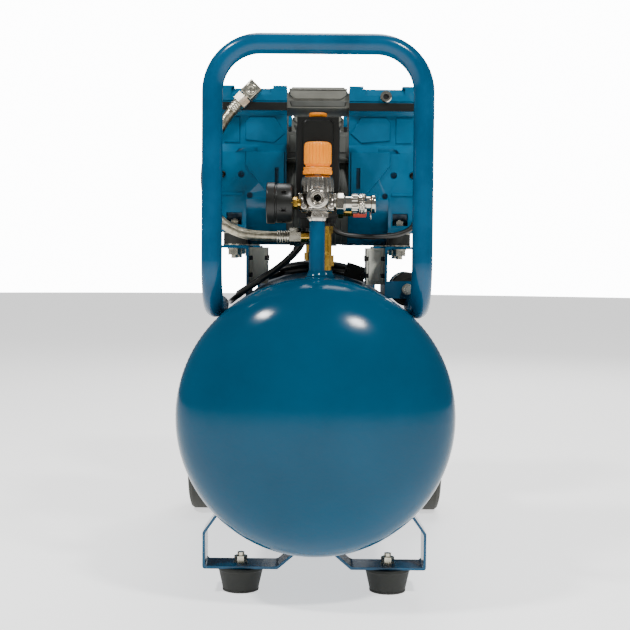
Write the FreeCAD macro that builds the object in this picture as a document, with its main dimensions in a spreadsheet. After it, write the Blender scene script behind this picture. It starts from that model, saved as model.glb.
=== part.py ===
import FreeCAD, Part
import math
import os
import re
import Sketcher

# Belt-less workshop air compressor: a lying tank on two rubber feet and two wheels,
# a hoop handle at its front end, and two oil-free twin-cylinder pumps in a row on top.
# X runs to the right, Y runs to the back and Z runs up; the floor is Z = 0.

Vector = FreeCAD.Vector

DIMENSIONS = {
    # tank
    "tank_radius": 150, "tank_wall": 3, "tank_height": 205, "barrel_half": 319, "head_depth": 75,
    "bung_radius": 14, "bung_height": 12,
    # hoop handle
    "tube_radius": 11, "tube_wall": 2, "hoop_half": 112, "hoop_front": -320, "hoop_top": 602,
    "hoop_corner": 51, "hoop_run_end": -203,
    # feet
    "sheet": 3, "foot_x": 83, "foot_y": -249, "foot_height": 28, "foot_top_radius": 25,
    "foot_low_radius": 20, "bolt_radius": 4, "foot_strip_depth": 40,
    # wheels
    "wheel_radius": 75, "wheel_y": 216, "tyre_inner": 149, "rim_radius": 56,
    "hub_outer": 186, "axle_radius": 8, "running_gap": 0.05, "wheel_strip_depth": 60,
    # pumps, whose crankshafts lie along X
    "crank_height": 446, "pump_half_depth": 56, "case_inner": 36, "case_outer": 118, "block_outer": 113,
    "bore_x": 74.5, "bore_radius": 30, "cavity_radius": 38, "cavity_inner": 48, "cover_inner": 114,
    "valve_low": 545, "head_low": 554, "head_top": 570, "head_corner_top": 573, "lug_low": 405,
    "lug_top": 413, "mount_x": 96, "mount_y": 43, "mount_radius": 13,
    "shaft_radius": 7.5, "bearing_radius": 17.5, "rotor_radius": 30, "rotor_half": 27,
    "crank_throw": 5, "crank_disc_radius": 12, "big_end_inner": 23, "big_end_outer": 29,
    "front_pump_y": -140, "rear_pump_y": 165,
    "web_x": 79, "flange_x": 118, "flange_top": 389, "bracket_half": 57,
    # air outlet column
    "riser_y": -290, "riser_radius": 8.6, "riser_bore": 6.3, "hex_low": 416, "regulator_low": 427,
    "regulator_top": 447, "port_height": 435, "front_port_height": 440, "outlet_bore": 5.5,
    "bonnet_top": 465, "knob_radius": 15, "knob_bore": 4,
    "gauge_radius": 22.5, "gauge_out": -55, "gauge_in": -26, "coupler_end": 63, "sleeve_near": 37,
    "sleeve_far": 53, "coupler_barrel": 8.5,
    # pressure switch
    "switch_half": 23, "switch_front": -262, "switch_back": -205, "switch_low": 421,
    "switch_split": 445, "switch_top": 531, "valve_y": -255, "valve_x": 8, "inlet_height": 399,
    "safety_y": -235, "safety_height": 429,
    # cords and hoses
    "hose_radius": 6, "motor_lead_radius": 3, "mains_radius": 3.75, "coil_y": 12, "coil_inner": 31,
    "coil_outer": 54, "coil_rise": 15.5,
}

doc = FreeCAD.newDocument("air_compressor")
sheet = doc.addObject("Spreadsheet::Sheet", "Dims")
for row, (alias, size) in enumerate(DIMENSIONS.items(), 1):
    sheet.set(f"A{row}", alias)
    sheet.set(f"B{row}", str(size))
    sheet.setAlias(f"B{row}", alias)
doc.recompute()

SUB_PARTS = []


def size(alias):
    """One number read from the sheet, for shapes that are made by code."""
    return float(sheet.get(alias))


def on_sheet(text):
    """Point each alias in an expression at the sheet's cell."""
    return re.sub(r"[a-z][a-z_]+", lambda word: f"Dims.{word[0]}" if word[0] in DIMENSIONS else word[0],
                  str(text))


TURNS = {
    "Z": FreeCAD.Rotation(),
    "-Z": FreeCAD.Rotation(Vector(1, 0, 0), 180),
    "X": FreeCAD.Rotation(Vector(0, 1, 0), 90),
    "-X": FreeCAD.Rotation(Vector(0, 1, 0), -90),
    "Y": FreeCAD.Rotation(Vector(1, 0, 0), -90),
    "-Y": FreeCAD.Rotation(Vector(1, 0, 0), 90),
}


def put(thing, at, axis="Z"):
    """Turn a thing's own Z to an axis and bind its place to the sheet."""
    thing.Placement = FreeCAD.Placement(Vector(), TURNS[axis])
    for letter, text in zip("xyz", at):
        thing.setExpression(f"Placement.Base.{letter}", on_sheet(text))
    return thing


def primitive(kind, sizes, at, axis="Z"):
    thing = doc.addObject(f"Part::{kind}", kind)
    for name, text in sizes.items():
        thing.setExpression(name, on_sheet(text))
    return put(thing, at, axis)


def rod(radius, length, at, axis="Z"):
    return primitive("Cylinder", {"Radius": radius, "Height": length}, at, axis)


def block(x_ends, y_ends, z_ends):
    """A box between two ends on each axis."""
    lengths = [f"({high}) - ({low})" for low, high in (x_ends, y_ends, z_ends)]
    return primitive("Box", dict(zip(("Length", "Width", "Height"), lengths)),
                     (x_ends[0], y_ends[0], z_ends[0]))


def hexagon(across_flats, length, at, axis="Z"):
    prism = doc.addObject("Part::Prism", "Hexagon")
    prism.Polygon = 6
    prism.setExpression("Circumradius", on_sheet(f"({across_flats}) / sqrt(3)"))
    prism.setExpression("Height", on_sheet(length))
    return put(prism, at, axis)


def outline_sketch(body, role, outline):
    """A closed outline whose corners are all bound to the sheet."""
    sketch = body.newObject("Sketcher::SketchObject", "Outline")
    base = next(plane for plane in body.Origin.OriginFeatures if plane.Role == role)
    sketch.AttachmentSupport = (base, [""])
    sketch.MapMode = "FlatFace"
    count = len(outline)
    start = [(math.cos(math.tau * turn / count), math.sin(math.tau * turn / count))
             for turn in range(count)]
    for corner in range(count):
        ahead = start[(corner + 1) % count]
        sketch.addGeometry(Part.LineSegment(Vector(*start[corner], 0), Vector(*ahead, 0)), False)
    for corner in range(count):
        sketch.addConstraint(Sketcher.Constraint("Coincident", corner, 2, (corner + 1) % count, 1))
    for corner, texts in enumerate(outline):
        for kind, text, now in zip(("DistanceX", "DistanceY"), texts, start[corner]):
            row = sketch.addConstraint(Sketcher.Constraint(kind, -1, 1, corner, 1, now))
            sketch.setExpression(f"Constraints[{row}]", on_sheet(text))
    return sketch


def turned(outline, at, axis="Z"):
    """A body turned on a lathe: the outline holds radius and height pairs."""
    body = doc.addObject("PartDesign::Body", "Turned")
    sketch = outline_sketch(body, "XZ_Plane", outline)
    feature = body.newObject("PartDesign::Revolution", "Revolution")
    feature.Profile = sketch
    feature.ReferenceAxis = (sketch, ["V_Axis"])
    feature.Angle = 360
    return put(body, at, axis)


def padded(outline, length, at, axis="Z"):
    """A body of constant section along an axis."""
    body = doc.addObject("PartDesign::Body", "Padded")
    feature = body.newObject("PartDesign::Pad", "Pad")
    feature.Profile = outline_sketch(body, "XY_Plane", outline)
    feature.setExpression("Length", on_sheet(length))
    return put(body, at, axis)


def joined(*things):
    fusion = doc.addObject("Part::MultiFuse", "Joined")
    fusion.Shapes = list(things)
    fusion.Refine = True
    return fusion


def less(base, *tools):
    cut = doc.addObject("Part::Cut", "Less")
    cut.Base = base
    cut.Tool = tools[0] if len(tools) == 1 else joined(*tools)
    return cut


def group(*things):
    """Separate solids that share one node."""
    compound = doc.addObject("Part::Compound", "Group")
    compound.Links = list(things)
    return compound


def mirrored(thing, normal=(1, 0, 0), base=(0, 0, 0)):
    mirror = doc.addObject("Part::Mirroring", "Mirrored")
    mirror.Source = thing
    mirror.Base = Vector(*base)
    mirror.Normal = Vector(*normal)
    return mirror


def shaped(shape):
    """A sub-part whose shape is made by code from the sheet's sizes."""
    feature = doc.addObject("Part::Feature", "Shaped")
    feature.Shape = shape
    return feature


def sub_part(label, thing):
    thing.Label = label
    SUB_PARTS.append(thing)
    return thing


SHARED = {}


def gather(label, *things):
    """Keep pieces that repeat on both pumps for one node."""
    SHARED.setdefault(label, []).extend(things)


def both_sides(thing):
    return group(thing, mirrored(thing))


def tank_form(extra="0"):
    """The tank barrel as a plain cylinder, which gives welded pieces their saddles."""
    return rod(f"tank_radius + {extra}", "2 * barrel_half", ("0", "-barrel_half", "tank_height"), "Y")


def bent_sheet(points, depth, y_start):
    """A folded strip: its mid line in X and Z, with rounded outer bends."""
    line = Part.makePolygon([Vector(x, 0, z) for x, z in points])
    face = line.makeOffset2D(size("sheet"), 0, True, True)
    return shaped(face.extrude(Vector(0, depth, 0)).translated(Vector(0, y_start, 0)))


def rounded_route(points):
    """Straight runs joined by tangent arcs, each as large as its two runs allow."""
    spots = [Vector(*point) for point in points]
    edges = []
    last = spots[0]
    for before, corner, after in zip(spots, spots[1:], spots[2:]):
        inward = (before - corner).normalize()
        outward = (after - corner).normalize()
        turn = math.pi - inward.getAngle(outward)
        reach = 0.45 * min(before.distanceToPoint(corner), after.distanceToPoint(corner))
        radius = reach / math.tan(turn / 2)
        start = corner + inward * reach
        end = corner + outward * reach
        middle_way = (inward + outward).normalize()
        middle = corner + middle_way * (radius / math.cos(turn / 2) - radius)
        edges.append(Part.LineSegment(last, start).toShape())
        edges.append(Part.Arc(start, middle, end).toShape())
        last = end
    edges.append(Part.LineSegment(last, spots[-1]).toShape())
    return Part.Wire(edges)


def swept(wire, radius):
    start = wire.Edges[0]
    ring = Part.Wire(Part.Circle(start.Vertexes[0].Point, start.tangentAt(start.FirstParameter),
                                 radius).toShape())
    return wire.makePipeShell([ring], True, True)


def cord_tube(label, points, radius):
    return sub_part(label, shaped(swept(rounded_route(points), radius)))


# ---- tank -------------------------------------------------------------------------------------

def make_tank():
    long_bore = rod("tank_radius - tank_wall", "2 * barrel_half", ("0", "-barrel_half", "tank_height"), "Y")
    holes = [rod("bung_radius", "tank_wall + 20", ("0", "riser_y", "tank_height + tank_radius - 12")),
             rod("bung_radius", "tank_wall + 20", ("valve_x", "valve_y", "tank_height + tank_radius - 12")),
             rod("bung_radius", "tank_wall + 20", ("-valve_x", "rear_pump_y - valve_y + front_pump_y",
                                                   "tank_height + tank_radius - 12")),
             rod("bung_radius", "20", ("0", "0", "tank_height - tank_radius - 8"))]
    sub_part("tank_barrel", less(tank_form(), long_bore, *holes))
    ends = []
    for axis, place in (("-Y", "-barrel_half"), ("Y", "barrel_half")):
        caps = []
        for thinner in ("0", "tank_wall"):
            caps.append(primitive("Ellipsoid", {"Radius1": f"head_depth - {thinner}",
                                                "Radius2": f"tank_radius - {thinner}", "Angle1": "0",
                                                "Angle2": "90"}, ("0", place, "tank_height"), axis))
        ends.append(less(*caps))
    sub_part("tank_heads", group(*ends))
    bungs = []
    for x_at, y_at, bore in (("0", "riser_y", "riser_radius"), ("valve_x", "valve_y", "riser_radius"),
                             ("-valve_x", "rear_pump_y - valve_y + front_pump_y", "riser_radius")):
        low = "tank_height + tank_radius - 12"
        bungs.append(less(rod("bung_radius", "12 + bung_height", (x_at, y_at, low)),
                          rod(bore, "12 + bung_height", (x_at, y_at, low))))
    drain_low = "tank_height - tank_radius - 8"
    bungs.append(less(rod("bung_radius", "20", ("0", "0", drain_low)),
                      rod("6.5", "20", ("0", "0", drain_low))))
    sub_part("tank_bungs", group(*bungs))
    sub_part("drain_valve_body", turned(
        [("0", "0"), ("6.45", "0"), ("6.45", "19"), ("10", "19"), ("10", "27"), ("5", "27"), ("5", "34"),
         ("0", "34")], ("0", "0", "tank_height - tank_radius + 11"), "-Z"))
    wing = block(("-13", "13"), ("-2", "2"), ("tank_height - tank_radius - 31",
                                              "tank_height - tank_radius - 23.3"))
    cap = less(rod("8", "12", ("0", "0", "tank_height - tank_radius - 31")),
               rod("5 + running_gap", "7.7", ("0", "0", "tank_height - tank_radius - 23.3")))
    sub_part("drain_valve_handle", less(joined(cap, wing),
             rod("5 + running_gap", "9", ("0", "0", "tank_height - tank_radius - 23.3"))))


# ---- chassis ----------------------------------------------------------------------------------

def hoop_points(half, low_back):
    """The hoop's route on one side, from its run on the tank to its corner."""
    reach = size("tank_radius") + size("tube_radius")
    run_height = size("tank_height") + math.sqrt(reach ** 2 - half ** 2)
    front = size("hoop_front")
    return [(half, low_back, run_height), (half, front, run_height), (half, front, size("hoop_top"))]


def hoop_wire():
    """Straight tube runs with a bend of one radius at every corner."""
    half = size("hoop_half")
    right = hoop_points(half, size("hoop_run_end"))
    left = [(-x, y, z) for x, y, z in reversed(right)]
    spots = [Vector(*point) for point in right + left]
    radius = size("hoop_corner")
    edges = []
    last = spots[0]
    for before, corner, after in zip(spots, spots[1:], spots[2:]):
        inward = (before - corner).normalize()
        outward = (after - corner).normalize()
        start = corner + inward * radius
        end = corner + outward * radius
        middle = corner + (inward + outward) * (radius - radius / math.sqrt(2))
        edges.append(Part.LineSegment(last, start).toShape())
        edges.append(Part.Arc(start, middle, end).toShape())
        last = end
    edges.append(Part.LineSegment(last, spots[-1]).toShape())
    return Part.Wire(edges)


def make_chassis():
    wire = hoop_wire()
    tube = swept(wire, size("tube_radius")).cut(swept(wire, size("tube_radius") - size("tube_wall")))
    sub_part("carry_handle", shaped(tube))

    foot_strip = bent_sheet([(101.5, 97), (122, 68), (122, 31), (42, 31), (14, 55)],
                            size("foot_strip_depth"), size("foot_y") - size("foot_strip_depth") / 2)
    foot_holes = rod("4.4", "10", ("foot_x", "foot_y", "foot_height - 3"))
    sub_part("foot_brackets", both_sides(less(foot_strip, tank_form(), foot_holes)))
    foot = turned([("4.2", "6"), ("9", "6"), ("9", "0"), ("foot_low_radius - 1", "0"),
                   ("foot_low_radius", "1.5"), ("foot_top_radius", "foot_height - 4"),
                   ("foot_top_radius", "foot_height"), ("4.2", "foot_height")], ("foot_x", "foot_y", "0"))
    sub_part("rubber_feet", both_sides(foot))
    plate_top = "foot_height + sheet"
    foot_bolt = joined(rod("bolt_radius", "37", ("foot_x", "foot_y", "6")),
                       rod("8", "1.6", ("foot_x", "foot_y", plate_top)),
                       hexagon("13", "6.4", ("foot_x", "foot_y", f"{plate_top} + 1.6")))
    gather("fasteners", foot_bolt, mirrored(foot_bolt))

    wheel_strip = bent_sheet([(134, 150), (134, 52), (104, 52), (72, 70)], size("wheel_strip_depth"),
                             size("wheel_y") - size("wheel_strip_depth") / 2)
    axle_hole = rod("axle_radius", "20", ("126", "wheel_y", "wheel_radius"), "X")
    sub_part("wheel_brackets", both_sides(less(wheel_strip, tank_form(), axle_hole)))
    axle = turned([("0", "0"), ("11", "0"), ("11", "8"), ("axle_radius", "8"), ("axle_radius", "11"),
                   ("axle_radius + 4", "11"), ("axle_radius + 4", "20"), ("axle_radius", "20"),
                   ("axle_radius", "52"), ("11", "52"), ("11", "58"), ("0", "58")],
                  ("126", "wheel_y", "wheel_radius"), "X")
    sub_part("wheel_axles", both_sides(axle))
    hub = turned([("axle_radius + running_gap", "0.3"), ("20", "0.3"), ("20", "6"), ("rim_radius - 6", "6"),
                  ("rim_radius - 6", "0"), ("rim_radius", "0"), ("rim_radius", "hub_outer - tyre_inner - 4"),
                  ("rim_radius - 4", "hub_outer - tyre_inner"),
                  ("rim_radius - 12", "hub_outer - tyre_inner"),
                  ("rim_radius - 16", "24"), ("20", "24"), ("20", "28"),
                  ("axle_radius + running_gap", "28")], ("tyre_inner - 2", "wheel_y", "wheel_radius"), "X")
    tyre = turned([("rim_radius", "0"), ("66", "0"), ("wheel_radius - 3", "2"), ("wheel_radius", "6"),
                   ("wheel_radius", "27"), ("wheel_radius - 3", "31"), ("66", "33"), ("rim_radius", "33")],
                  ("tyre_inner", "wheel_y", "wheel_radius"), "X")
    sub_part("right_wheel_hub", hub)
    sub_part("right_wheel_tyre", tyre)
    sub_part("left_wheel_hub", mirrored(hub))
    sub_part("left_wheel_tyre", mirrored(tyre))


def make_pump_brackets():
    for side in ("right", "left"):
        pieces = []
        for pump in ("front", "rear"):
            half = size("bracket_half")
            web = bent_sheet([(size("flange_x"), size("flange_top")), (size("web_x"), size("flange_top")),
                              (size("web_x"), 325)], 2 * half, size(f"{pump}_pump_y") - half)
            drills = [rod("4.4", "12", ("mount_x", f"{pump}_pump_y + {way} * mount_y", "flange_top - 8"))
                      for way in (-1, 1)]
            bracket = less(web, tank_form(), *drills)
            pieces.append(bracket if side == "right" else mirrored(bracket))
        if side == "right":
            tab = less(block(("web_x + sheet", "118"), ("front_pump_y - 57", "front_pump_y - 54"),
                             ("329", "349")),
                       rod("3.3", "9", ("105.5", "front_pump_y - 60", "339.8"), "Y"), tank_form())
            pieces[0] = joined(pieces[0], tab)
        sub_part(f"{side}_pump_brackets", group(*pieces))
    buffers = []
    bolts = []
    for pump in ("front", "rear"):
        for side in (-1, 1):
            for way in (-1, 1):
                spot = (f"{side} * mount_x", f"{pump}_pump_y + {way} * mount_y")
                buffers.append(less(rod("mount_radius", "lug_low - flange_top", (*spot, "flange_top")),
                                    rod("4.2", "lug_low - flange_top", (*spot, "flange_top"))))
                bolts.append(joined(rod("bolt_radius", "46", (*spot, "flange_top - 15")),
                                    rod("8.5", "1.6", (*spot, "flange_top - 4.6")),
                                    hexagon("13", "6.5", (*spot, "flange_top - 11.1")),
                                    hexagon("13", "5.5", (*spot, "lug_top"))))
    sub_part("rubber_mounts", group(*buffers))
    boxes = [block((f"{low}", f"{high}"), ("front_pump_y - 25", "front_pump_y + 35"), ("344", "387"))
             for low, high in (("59", "web_x - 0.1"), ("-web_x + 0.1", "-59"))]
    boxes.append(rod("19.5", "60", ("105.5", "front_pump_y - 54", "339.8"), "Y"))
    sub_part("capacitors", group(*boxes))
    bolts.append(joined(rod("3", "11", ("105.5", "front_pump_y - 65", "339.8"), "Y"),
                        rod("6.5", "1.6", ("105.5", "front_pump_y - 58.6", "339.8"), "Y"),
                        hexagon("10", "5", ("105.5", "front_pump_y - 63.6", "339.8"), "Y")))
    gather("fasteners", *bolts)


# ---- pumps ------------------------------------------------------------------------------------

def pump_place(pump, x_at, z_at):
    return (x_at, f"{pump}_pump_y", z_at)


def crankcase(pump):
    """The right-hand casting of a pump: crank chamber, cylinder block and two feet."""
    middle = f"{pump}_pump_y"
    ends = (f"{middle} - pump_half_depth", f"{middle} + pump_half_depth")
    belly = rod("pump_half_depth", "mount_x - 14 - case_inner",
                pump_place(pump, "case_inner", "crank_height"), "X")
    block_top = block(("case_inner", "block_outer"), ends, ("crank_height", "valve_low"))
    foot = block(("mount_x - 14", "case_outer"), ends, ("lug_low", "crank_height"))
    chamber = rod("cavity_radius", "case_outer - cavity_inner",
                  pump_place(pump, "cavity_inner", "crank_height"), "X")
    bearing_seat = rod("bearing_radius", "cavity_inner - case_inner",
                       pump_place(pump, "case_inner", "crank_height"), "X")
    bore = rod("bore_radius", "valve_low - crank_height", pump_place(pump, "bore_x", "crank_height"))
    cuts = [chamber, bearing_seat, bore]
    for way in (-1, 1):
        near = f"{middle} + {way} * mount_y"
        cuts.append(block(("mount_x - 9", "mount_x + 9"), (f"{near} - 9", f"{near} + 9"),
                          ("lug_top", "lug_top + 14")))
        open_end = (f"{near} - 14", near) if way == -1 else (near, f"{near} + 14")
        cuts.append(block(("mount_x - 9", "mount_x + 9"), open_end, ("lug_top", "lug_top + 14")))
        cuts.append(rod("4.2", "9", ("mount_x", near, "lug_low - 0.5")))
    return less(joined(belly, block_top, foot), *cuts)


def make_pump(pump):
    middle = f"{pump}_pump_y"
    ends = (f"{middle} - pump_half_depth", f"{middle} + pump_half_depth")
    plate = less(block(("case_inner", "block_outer"), ends, ("valve_low", "head_low")),
                 rod("6", "9", pump_place(pump, "bore_x - 14", "valve_low")),
                 rod("6", "9", pump_place(pump, "bore_x + 14", "valve_low")))
    gather("valve_plates", plate, mirrored(plate))

    corners = []
    for x_ends in (("case_inner", "case_inner + 16"), ("block_outer - 16", "block_outer")):
        for y_low, y_high in ((f"{middle} - pump_half_depth", f"{middle} - pump_half_depth + 16"),
                              (f"{middle} + pump_half_depth - 16", f"{middle} + pump_half_depth")):
            corners.append(block(x_ends, (y_low, y_high), ("head_top - 1", "head_corner_top")))
    hollow = block(("case_inner + 6", "block_outer - 6"), (f"{middle} - 48", f"{middle} + 48"),
                   ("head_low", "head_top - 6"))
    body = block(("case_inner", "block_outer"), ends, ("head_low", "head_top"))
    head = less(joined(body, *corners), hollow)
    gather("cylinder_heads", head, mirrored(head))

    duct = padded([("-36", "0"), ("36", "0"), ("36", "16"), ("30", "24"), ("-30", "24"), ("-36", "16")],
                  "96", ("0", f"{middle} + 48", "head_low - 5.5"), "-Y")
    gather("air_ducts", duct)

    shell_outer = joined(rod("pump_half_depth - 1", "2 * case_inner",
                             pump_place(pump, "-case_inner", "crank_height"), "X"),
                         block(("-case_inner", "case_inner"), (f"{middle} - 46", f"{middle} + 46"),
                               ("crank_height + 40", "crank_height + 75")))
    shell = less(shell_outer, rod("pump_half_depth - 4", "2 * case_inner",
                                  pump_place(pump, "-case_inner", "crank_height"), "X"))
    gather("motor_shells", shell)
    stator_at = pump_place(pump, "-rotor_half", "crank_height")
    stator = less(rod("pump_half_depth - 4.3", "2 * rotor_half", stator_at, "X"),
                  rod("rotor_radius + 0.5", "2 * rotor_half", stator_at, "X"))
    gather("stators", stator)

    bearing_at = pump_place(pump, "case_inner + 1", "crank_height")
    bearing = less(rod("bearing_radius", "11", bearing_at, "X"),
                   rod("shaft_radius + running_gap", "11", bearing_at, "X"))
    cover_at = pump_place(pump, "cover_inner", "crank_height")
    cover = less(rod("cavity_radius", "case_outer - cover_inner", cover_at, "X"),
                 rod("shaft_radius + 2", "case_outer - cover_inner", cover_at, "X"))
    gather("bearings", bearing, mirrored(bearing))
    guard = less(turned([("0", "12"), ("50", "12"), ("54", "8"), ("54", "0"), ("0", "0")],
                        pump_place(pump, "case_outer", "crank_height"), "X"),
                 rod("51", "9.5", pump_place(pump, "case_outer", "crank_height"), "X"),
                 *[block(("case_outer", "case_outer + 13"), (f"{middle} - 34", f"{middle} + 34"),
                         (f"crank_height + {rise}", f"crank_height + {rise + 6}"))
                   for rise in range(-33, 34, 12)])
    case = crankcase(pump)
    sub_part(f"{pump}_crankcases", group(case, mirrored(case), cover, mirrored(cover)))
    gather("fan_guards", guard, mirrored(guard))

    crank_disc = rod("crank_disc_radius", "18", (("bore_x - 9"), middle, "crank_height + crank_throw"), "X")
    other_disc = rod("crank_disc_radius", "18", (("-bore_x - 9"), middle, "crank_height - crank_throw"), "X")
    shaft = rod("shaft_radius", "2 * case_outer + 16",
                pump_place(pump, "-case_outer - 8", "crank_height"), "X")
    core = rod("rotor_radius", "2 * rotor_half", stator_at, "X")
    sub_part(f"{pump}_rotor", joined(shaft, core, crank_disc, other_disc))
    fans = []
    for x_at in ("case_outer + 1", "-case_outer - 8"):
        blades = [rod("14", "7", pump_place(pump, x_at, "crank_height"), "X"),
                  block((x_at, f"{x_at} + 7"), (f"{middle} - 47", f"{middle} + 47"),
                        ("crank_height - 1.5", "crank_height + 1.5")),
                  block((x_at, f"{x_at} + 7"), (f"{middle} - 1.5", f"{middle} + 1.5"),
                        ("crank_height - 47", "crank_height + 47"))]
        eye = rod("shaft_radius", "7", pump_place(pump, x_at, "crank_height"), "X")
        fans.append(less(joined(*blades), eye))
    sub_part(f"{pump}_fans", group(*fans))

    for side, centre in (("right", "bore_x"), ("left", "-bore_x")):
        ring = rod("big_end_outer", "12", (f"{centre} - 6", middle, "crank_height"), "X")
        stem = block((f"{centre} - 5", f"{centre} + 5"), (f"{middle} - 7", f"{middle} + 7"),
                     ("crank_height + 25", "crank_height + 82"))
        crown = rod("bore_radius - 0.3", "11", (centre, middle, "crank_height + 80"))
        eye = rod("big_end_inner", "12", (f"{centre} - 6", middle, "crank_height"), "X")
        sub_part(f"{pump}_{side}_piston", less(joined(ring, stem, crown), eye))


# ---- air outlet and controls --------------------------------------------------------------------

def make_outlet():
    column = ("0", "riser_y")
    pipe_low = "tank_height + tank_radius - 11"
    pipe = less(joined(rod("riser_radius", f"hex_low - ({pipe_low})", (*column, pipe_low)),
                       hexagon("22", "regulator_low - hex_low", (*column, "hex_low"))),
                rod("riser_bore", "120", (*column, f"{pipe_low} - 20")))
    sub_part("riser_pipe", pipe)

    block_body = joined(rod("18", "regulator_top - regulator_low", (*column, "regulator_low")),
                        rod("20", "3", (*column, "regulator_low")),
                        rod("11.7", "34", ("0", "riser_y", "front_port_height"), "-Y"),
                        rod("7.9", "28.5", ("0", "riser_y", "port_height"), "Y"))
    bores = [rod("5.9", "14", ("0", "riser_y - 34.5", "front_port_height"), "Y"),
             rod("8", "5", (*column, "regulator_top - 4")),
             rod("18.2", "20", (*column, "regulator_top"))]
    sub_part("regulator_body", less(block_body, *bores))
    bonnet = turned([("0", "0"), ("8", "0"), ("8", "0.5"), ("18", "0.5"), ("18", "17"), ("16.5", "18.5"),
                     ("knob_bore - 0.1", "18.5"), ("knob_bore - 0.1", "46"), ("0", "46")],
                    (*column, "regulator_top - 0.5"))
    sub_part("regulator_bonnet", bonnet)
    collar = turned([("knob_bore", "1"), ("15.85", "1"), ("15.85", "9"), ("knob_bore", "9")],
                    (*column, "bonnet_top"))
    sub_part("regulator_collar", collar)
    knob = turned([("knob_bore", "9.5"), ("12", "9.5"), ("knob_radius", "12"),
                   ("knob_radius", "33"), ("knob_radius - 3", "36"), ("0", "36"), ("0", "33"),
                   ("knob_bore", "33")], (*column, "bonnet_top"))
    sub_part("regulator_knob", knob)

    gauge_at = ("gauge_in", "riser_y", "port_height")
    case = turned([("0", "0"), ("gauge_radius", "0"), ("gauge_radius", "gauge_in - gauge_out"),
                   ("gauge_radius - 2.5", "gauge_in - gauge_out"), ("gauge_radius - 2.5", "21"),
                   ("1.2", "21"), ("1.2", "24.6"), ("0", "24.6")], gauge_at, "-X")
    stem = rod("5", "8.1", ("gauge_in", "riser_y", "port_height"), "X")
    sub_part("gauge_case", joined(case, stem))
    needle = less(joined(block(("gauge_out + 5", "gauge_out + 6"), ("riser_y - 0.9", "riser_y + 0.9"),
                               ("port_height - 5", "port_height + 16")),
                         rod("3", "1.4", ("gauge_out + 4.8", "riser_y", "port_height"), "X")),
                  rod("1.2 + running_gap", "3", ("gauge_out + 4", "riser_y", "port_height"), "X"))
    pivot = Vector(0, size("riser_y"), size("port_height"))
    needle.Placement = FreeCAD.Placement(Vector(), FreeCAD.Rotation(Vector(1, 0, 0), -135), pivot)
    sub_part("gauge_needle", needle)

    coupler_at = ("0", "riser_y", "port_height")
    length = "coupler_end"
    body = turned([("0", "18"), ("5", "18"), ("5", "20"), ("10.5", "20"), ("10.5", "29"),
                   ("coupler_barrel", "29"), ("coupler_barrel", f"{length} - 4"), ("10", f"{length} - 4"),
                   ("10", length), ("outlet_bore", length), ("outlet_bore", f"{length} - 22"),
                   ("0", f"{length} - 22")], coupler_at, "X")
    sub_part("coupler_body", body)
    sleeve = turned([("coupler_barrel + running_gap", "sleeve_near"), ("11", "sleeve_near"),
                     ("11", "sleeve_far - 1"), ("10", "sleeve_far"),
                     ("coupler_barrel + running_gap", "sleeve_far")], coupler_at, "X")
    sub_part("coupler_sleeve", sleeve)


def make_switch():
    ends_x = ("-switch_half", "switch_half")
    ends_y = ("switch_front", "switch_back")
    glands = [rod("6", f"{drop} + 1", (x_at, y_at, f"switch_low - {drop}"))
              for x_at, y_at, drop in (("16", "-238", "6"), ("-14", "-240", "12"), ("-12", "-216", "12"))]
    base = joined(block(ends_x, ends_y, ("switch_low", "switch_split")), *glands)
    link = rod("7.95", "10", ("0", "switch_front - 1", "port_height"), "Y")
    sub_part("switch_base", less(base, link,
                                 rod("4", "12", ("switch_half - 10", "safety_y", "safety_height"), "X")))
    cover = less(block(ends_x, ends_y, ("switch_split", "switch_top")),
                 block(("-switch_half + 2.5", "switch_half - 2.5"),
                       ("switch_front + 2.5", "switch_back - 2.5"), ("switch_split", "switch_top - 2.5")),
                 rod("7.1", "4", ("0", "-235", "switch_top - 3")))
    sub_part("switch_cover", cover)
    sub_part("switch_contacts",
             block(("-16", "16"), ("-255", "-212"), ("switch_split", "switch_split + 48")))
    sub_part("switch_knob", turned([("0", "0"), ("7", "0"), ("7", "17.3"), ("10", "17.3"), ("10", "20"),
                                    ("8", "23"), ("0", "23")], ("0", "-235", "switch_top - 16")))

    valves = []
    for side, y_at in (("1", "valve_y"), ("-1", "rear_pump_y - valve_y + front_pump_y")):
        foot = (f"{side} * valve_x", y_at, "tank_height + tank_radius - 10")
        valves.append(joined(rod("riser_radius - 0.1", "22", foot),
                             hexagon("19", "12", (foot[0], y_at, "tank_height + tank_radius + 12")),
                             rod("8.5", "26", (foot[0], y_at, "tank_height + tank_radius + 23")),
                             hexagon("17", "8", (foot[0], y_at, "tank_height + tank_radius + 48")),
                             rod("6", "26", (foot[0], y_at, "inlet_height"), "-X" if side == "1" else "X")))
    sub_part("check_valves", group(*valves))
    safety = joined(rod("4", "11", ("switch_half - 10", "safety_y", "safety_height"), "X"),
                    hexagon("15", "6", ("switch_half + 0.3", "safety_y", "safety_height"), "X"),
                    rod("6.5", "12", ("switch_half + 6", "safety_y", "safety_height"), "X"),
                    rod("7.5", "15", ("switch_half + 17.5", "safety_y", "safety_height"), "X"))
    sub_part("safety_valve_body", safety)
    ring = primitive("Torus", {"Radius1": "5", "Radius2": "0.8"},
                     ("switch_half + 37", "safety_y", "safety_height - 5"), "X")
    pin = rod("1.2", "4.6", ("switch_half + 32.8", "safety_y", "safety_height"), "X")
    sub_part("safety_valve_ring", joined(pin, ring))


# ---- hoses and leads -----------------------------------------------------------------------------

def half_turn(points, middle_y):
    """The same route for the pump that stands the other way round."""
    return [(-x, 2 * middle_y - y, z) for x, y, z in points]


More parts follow.
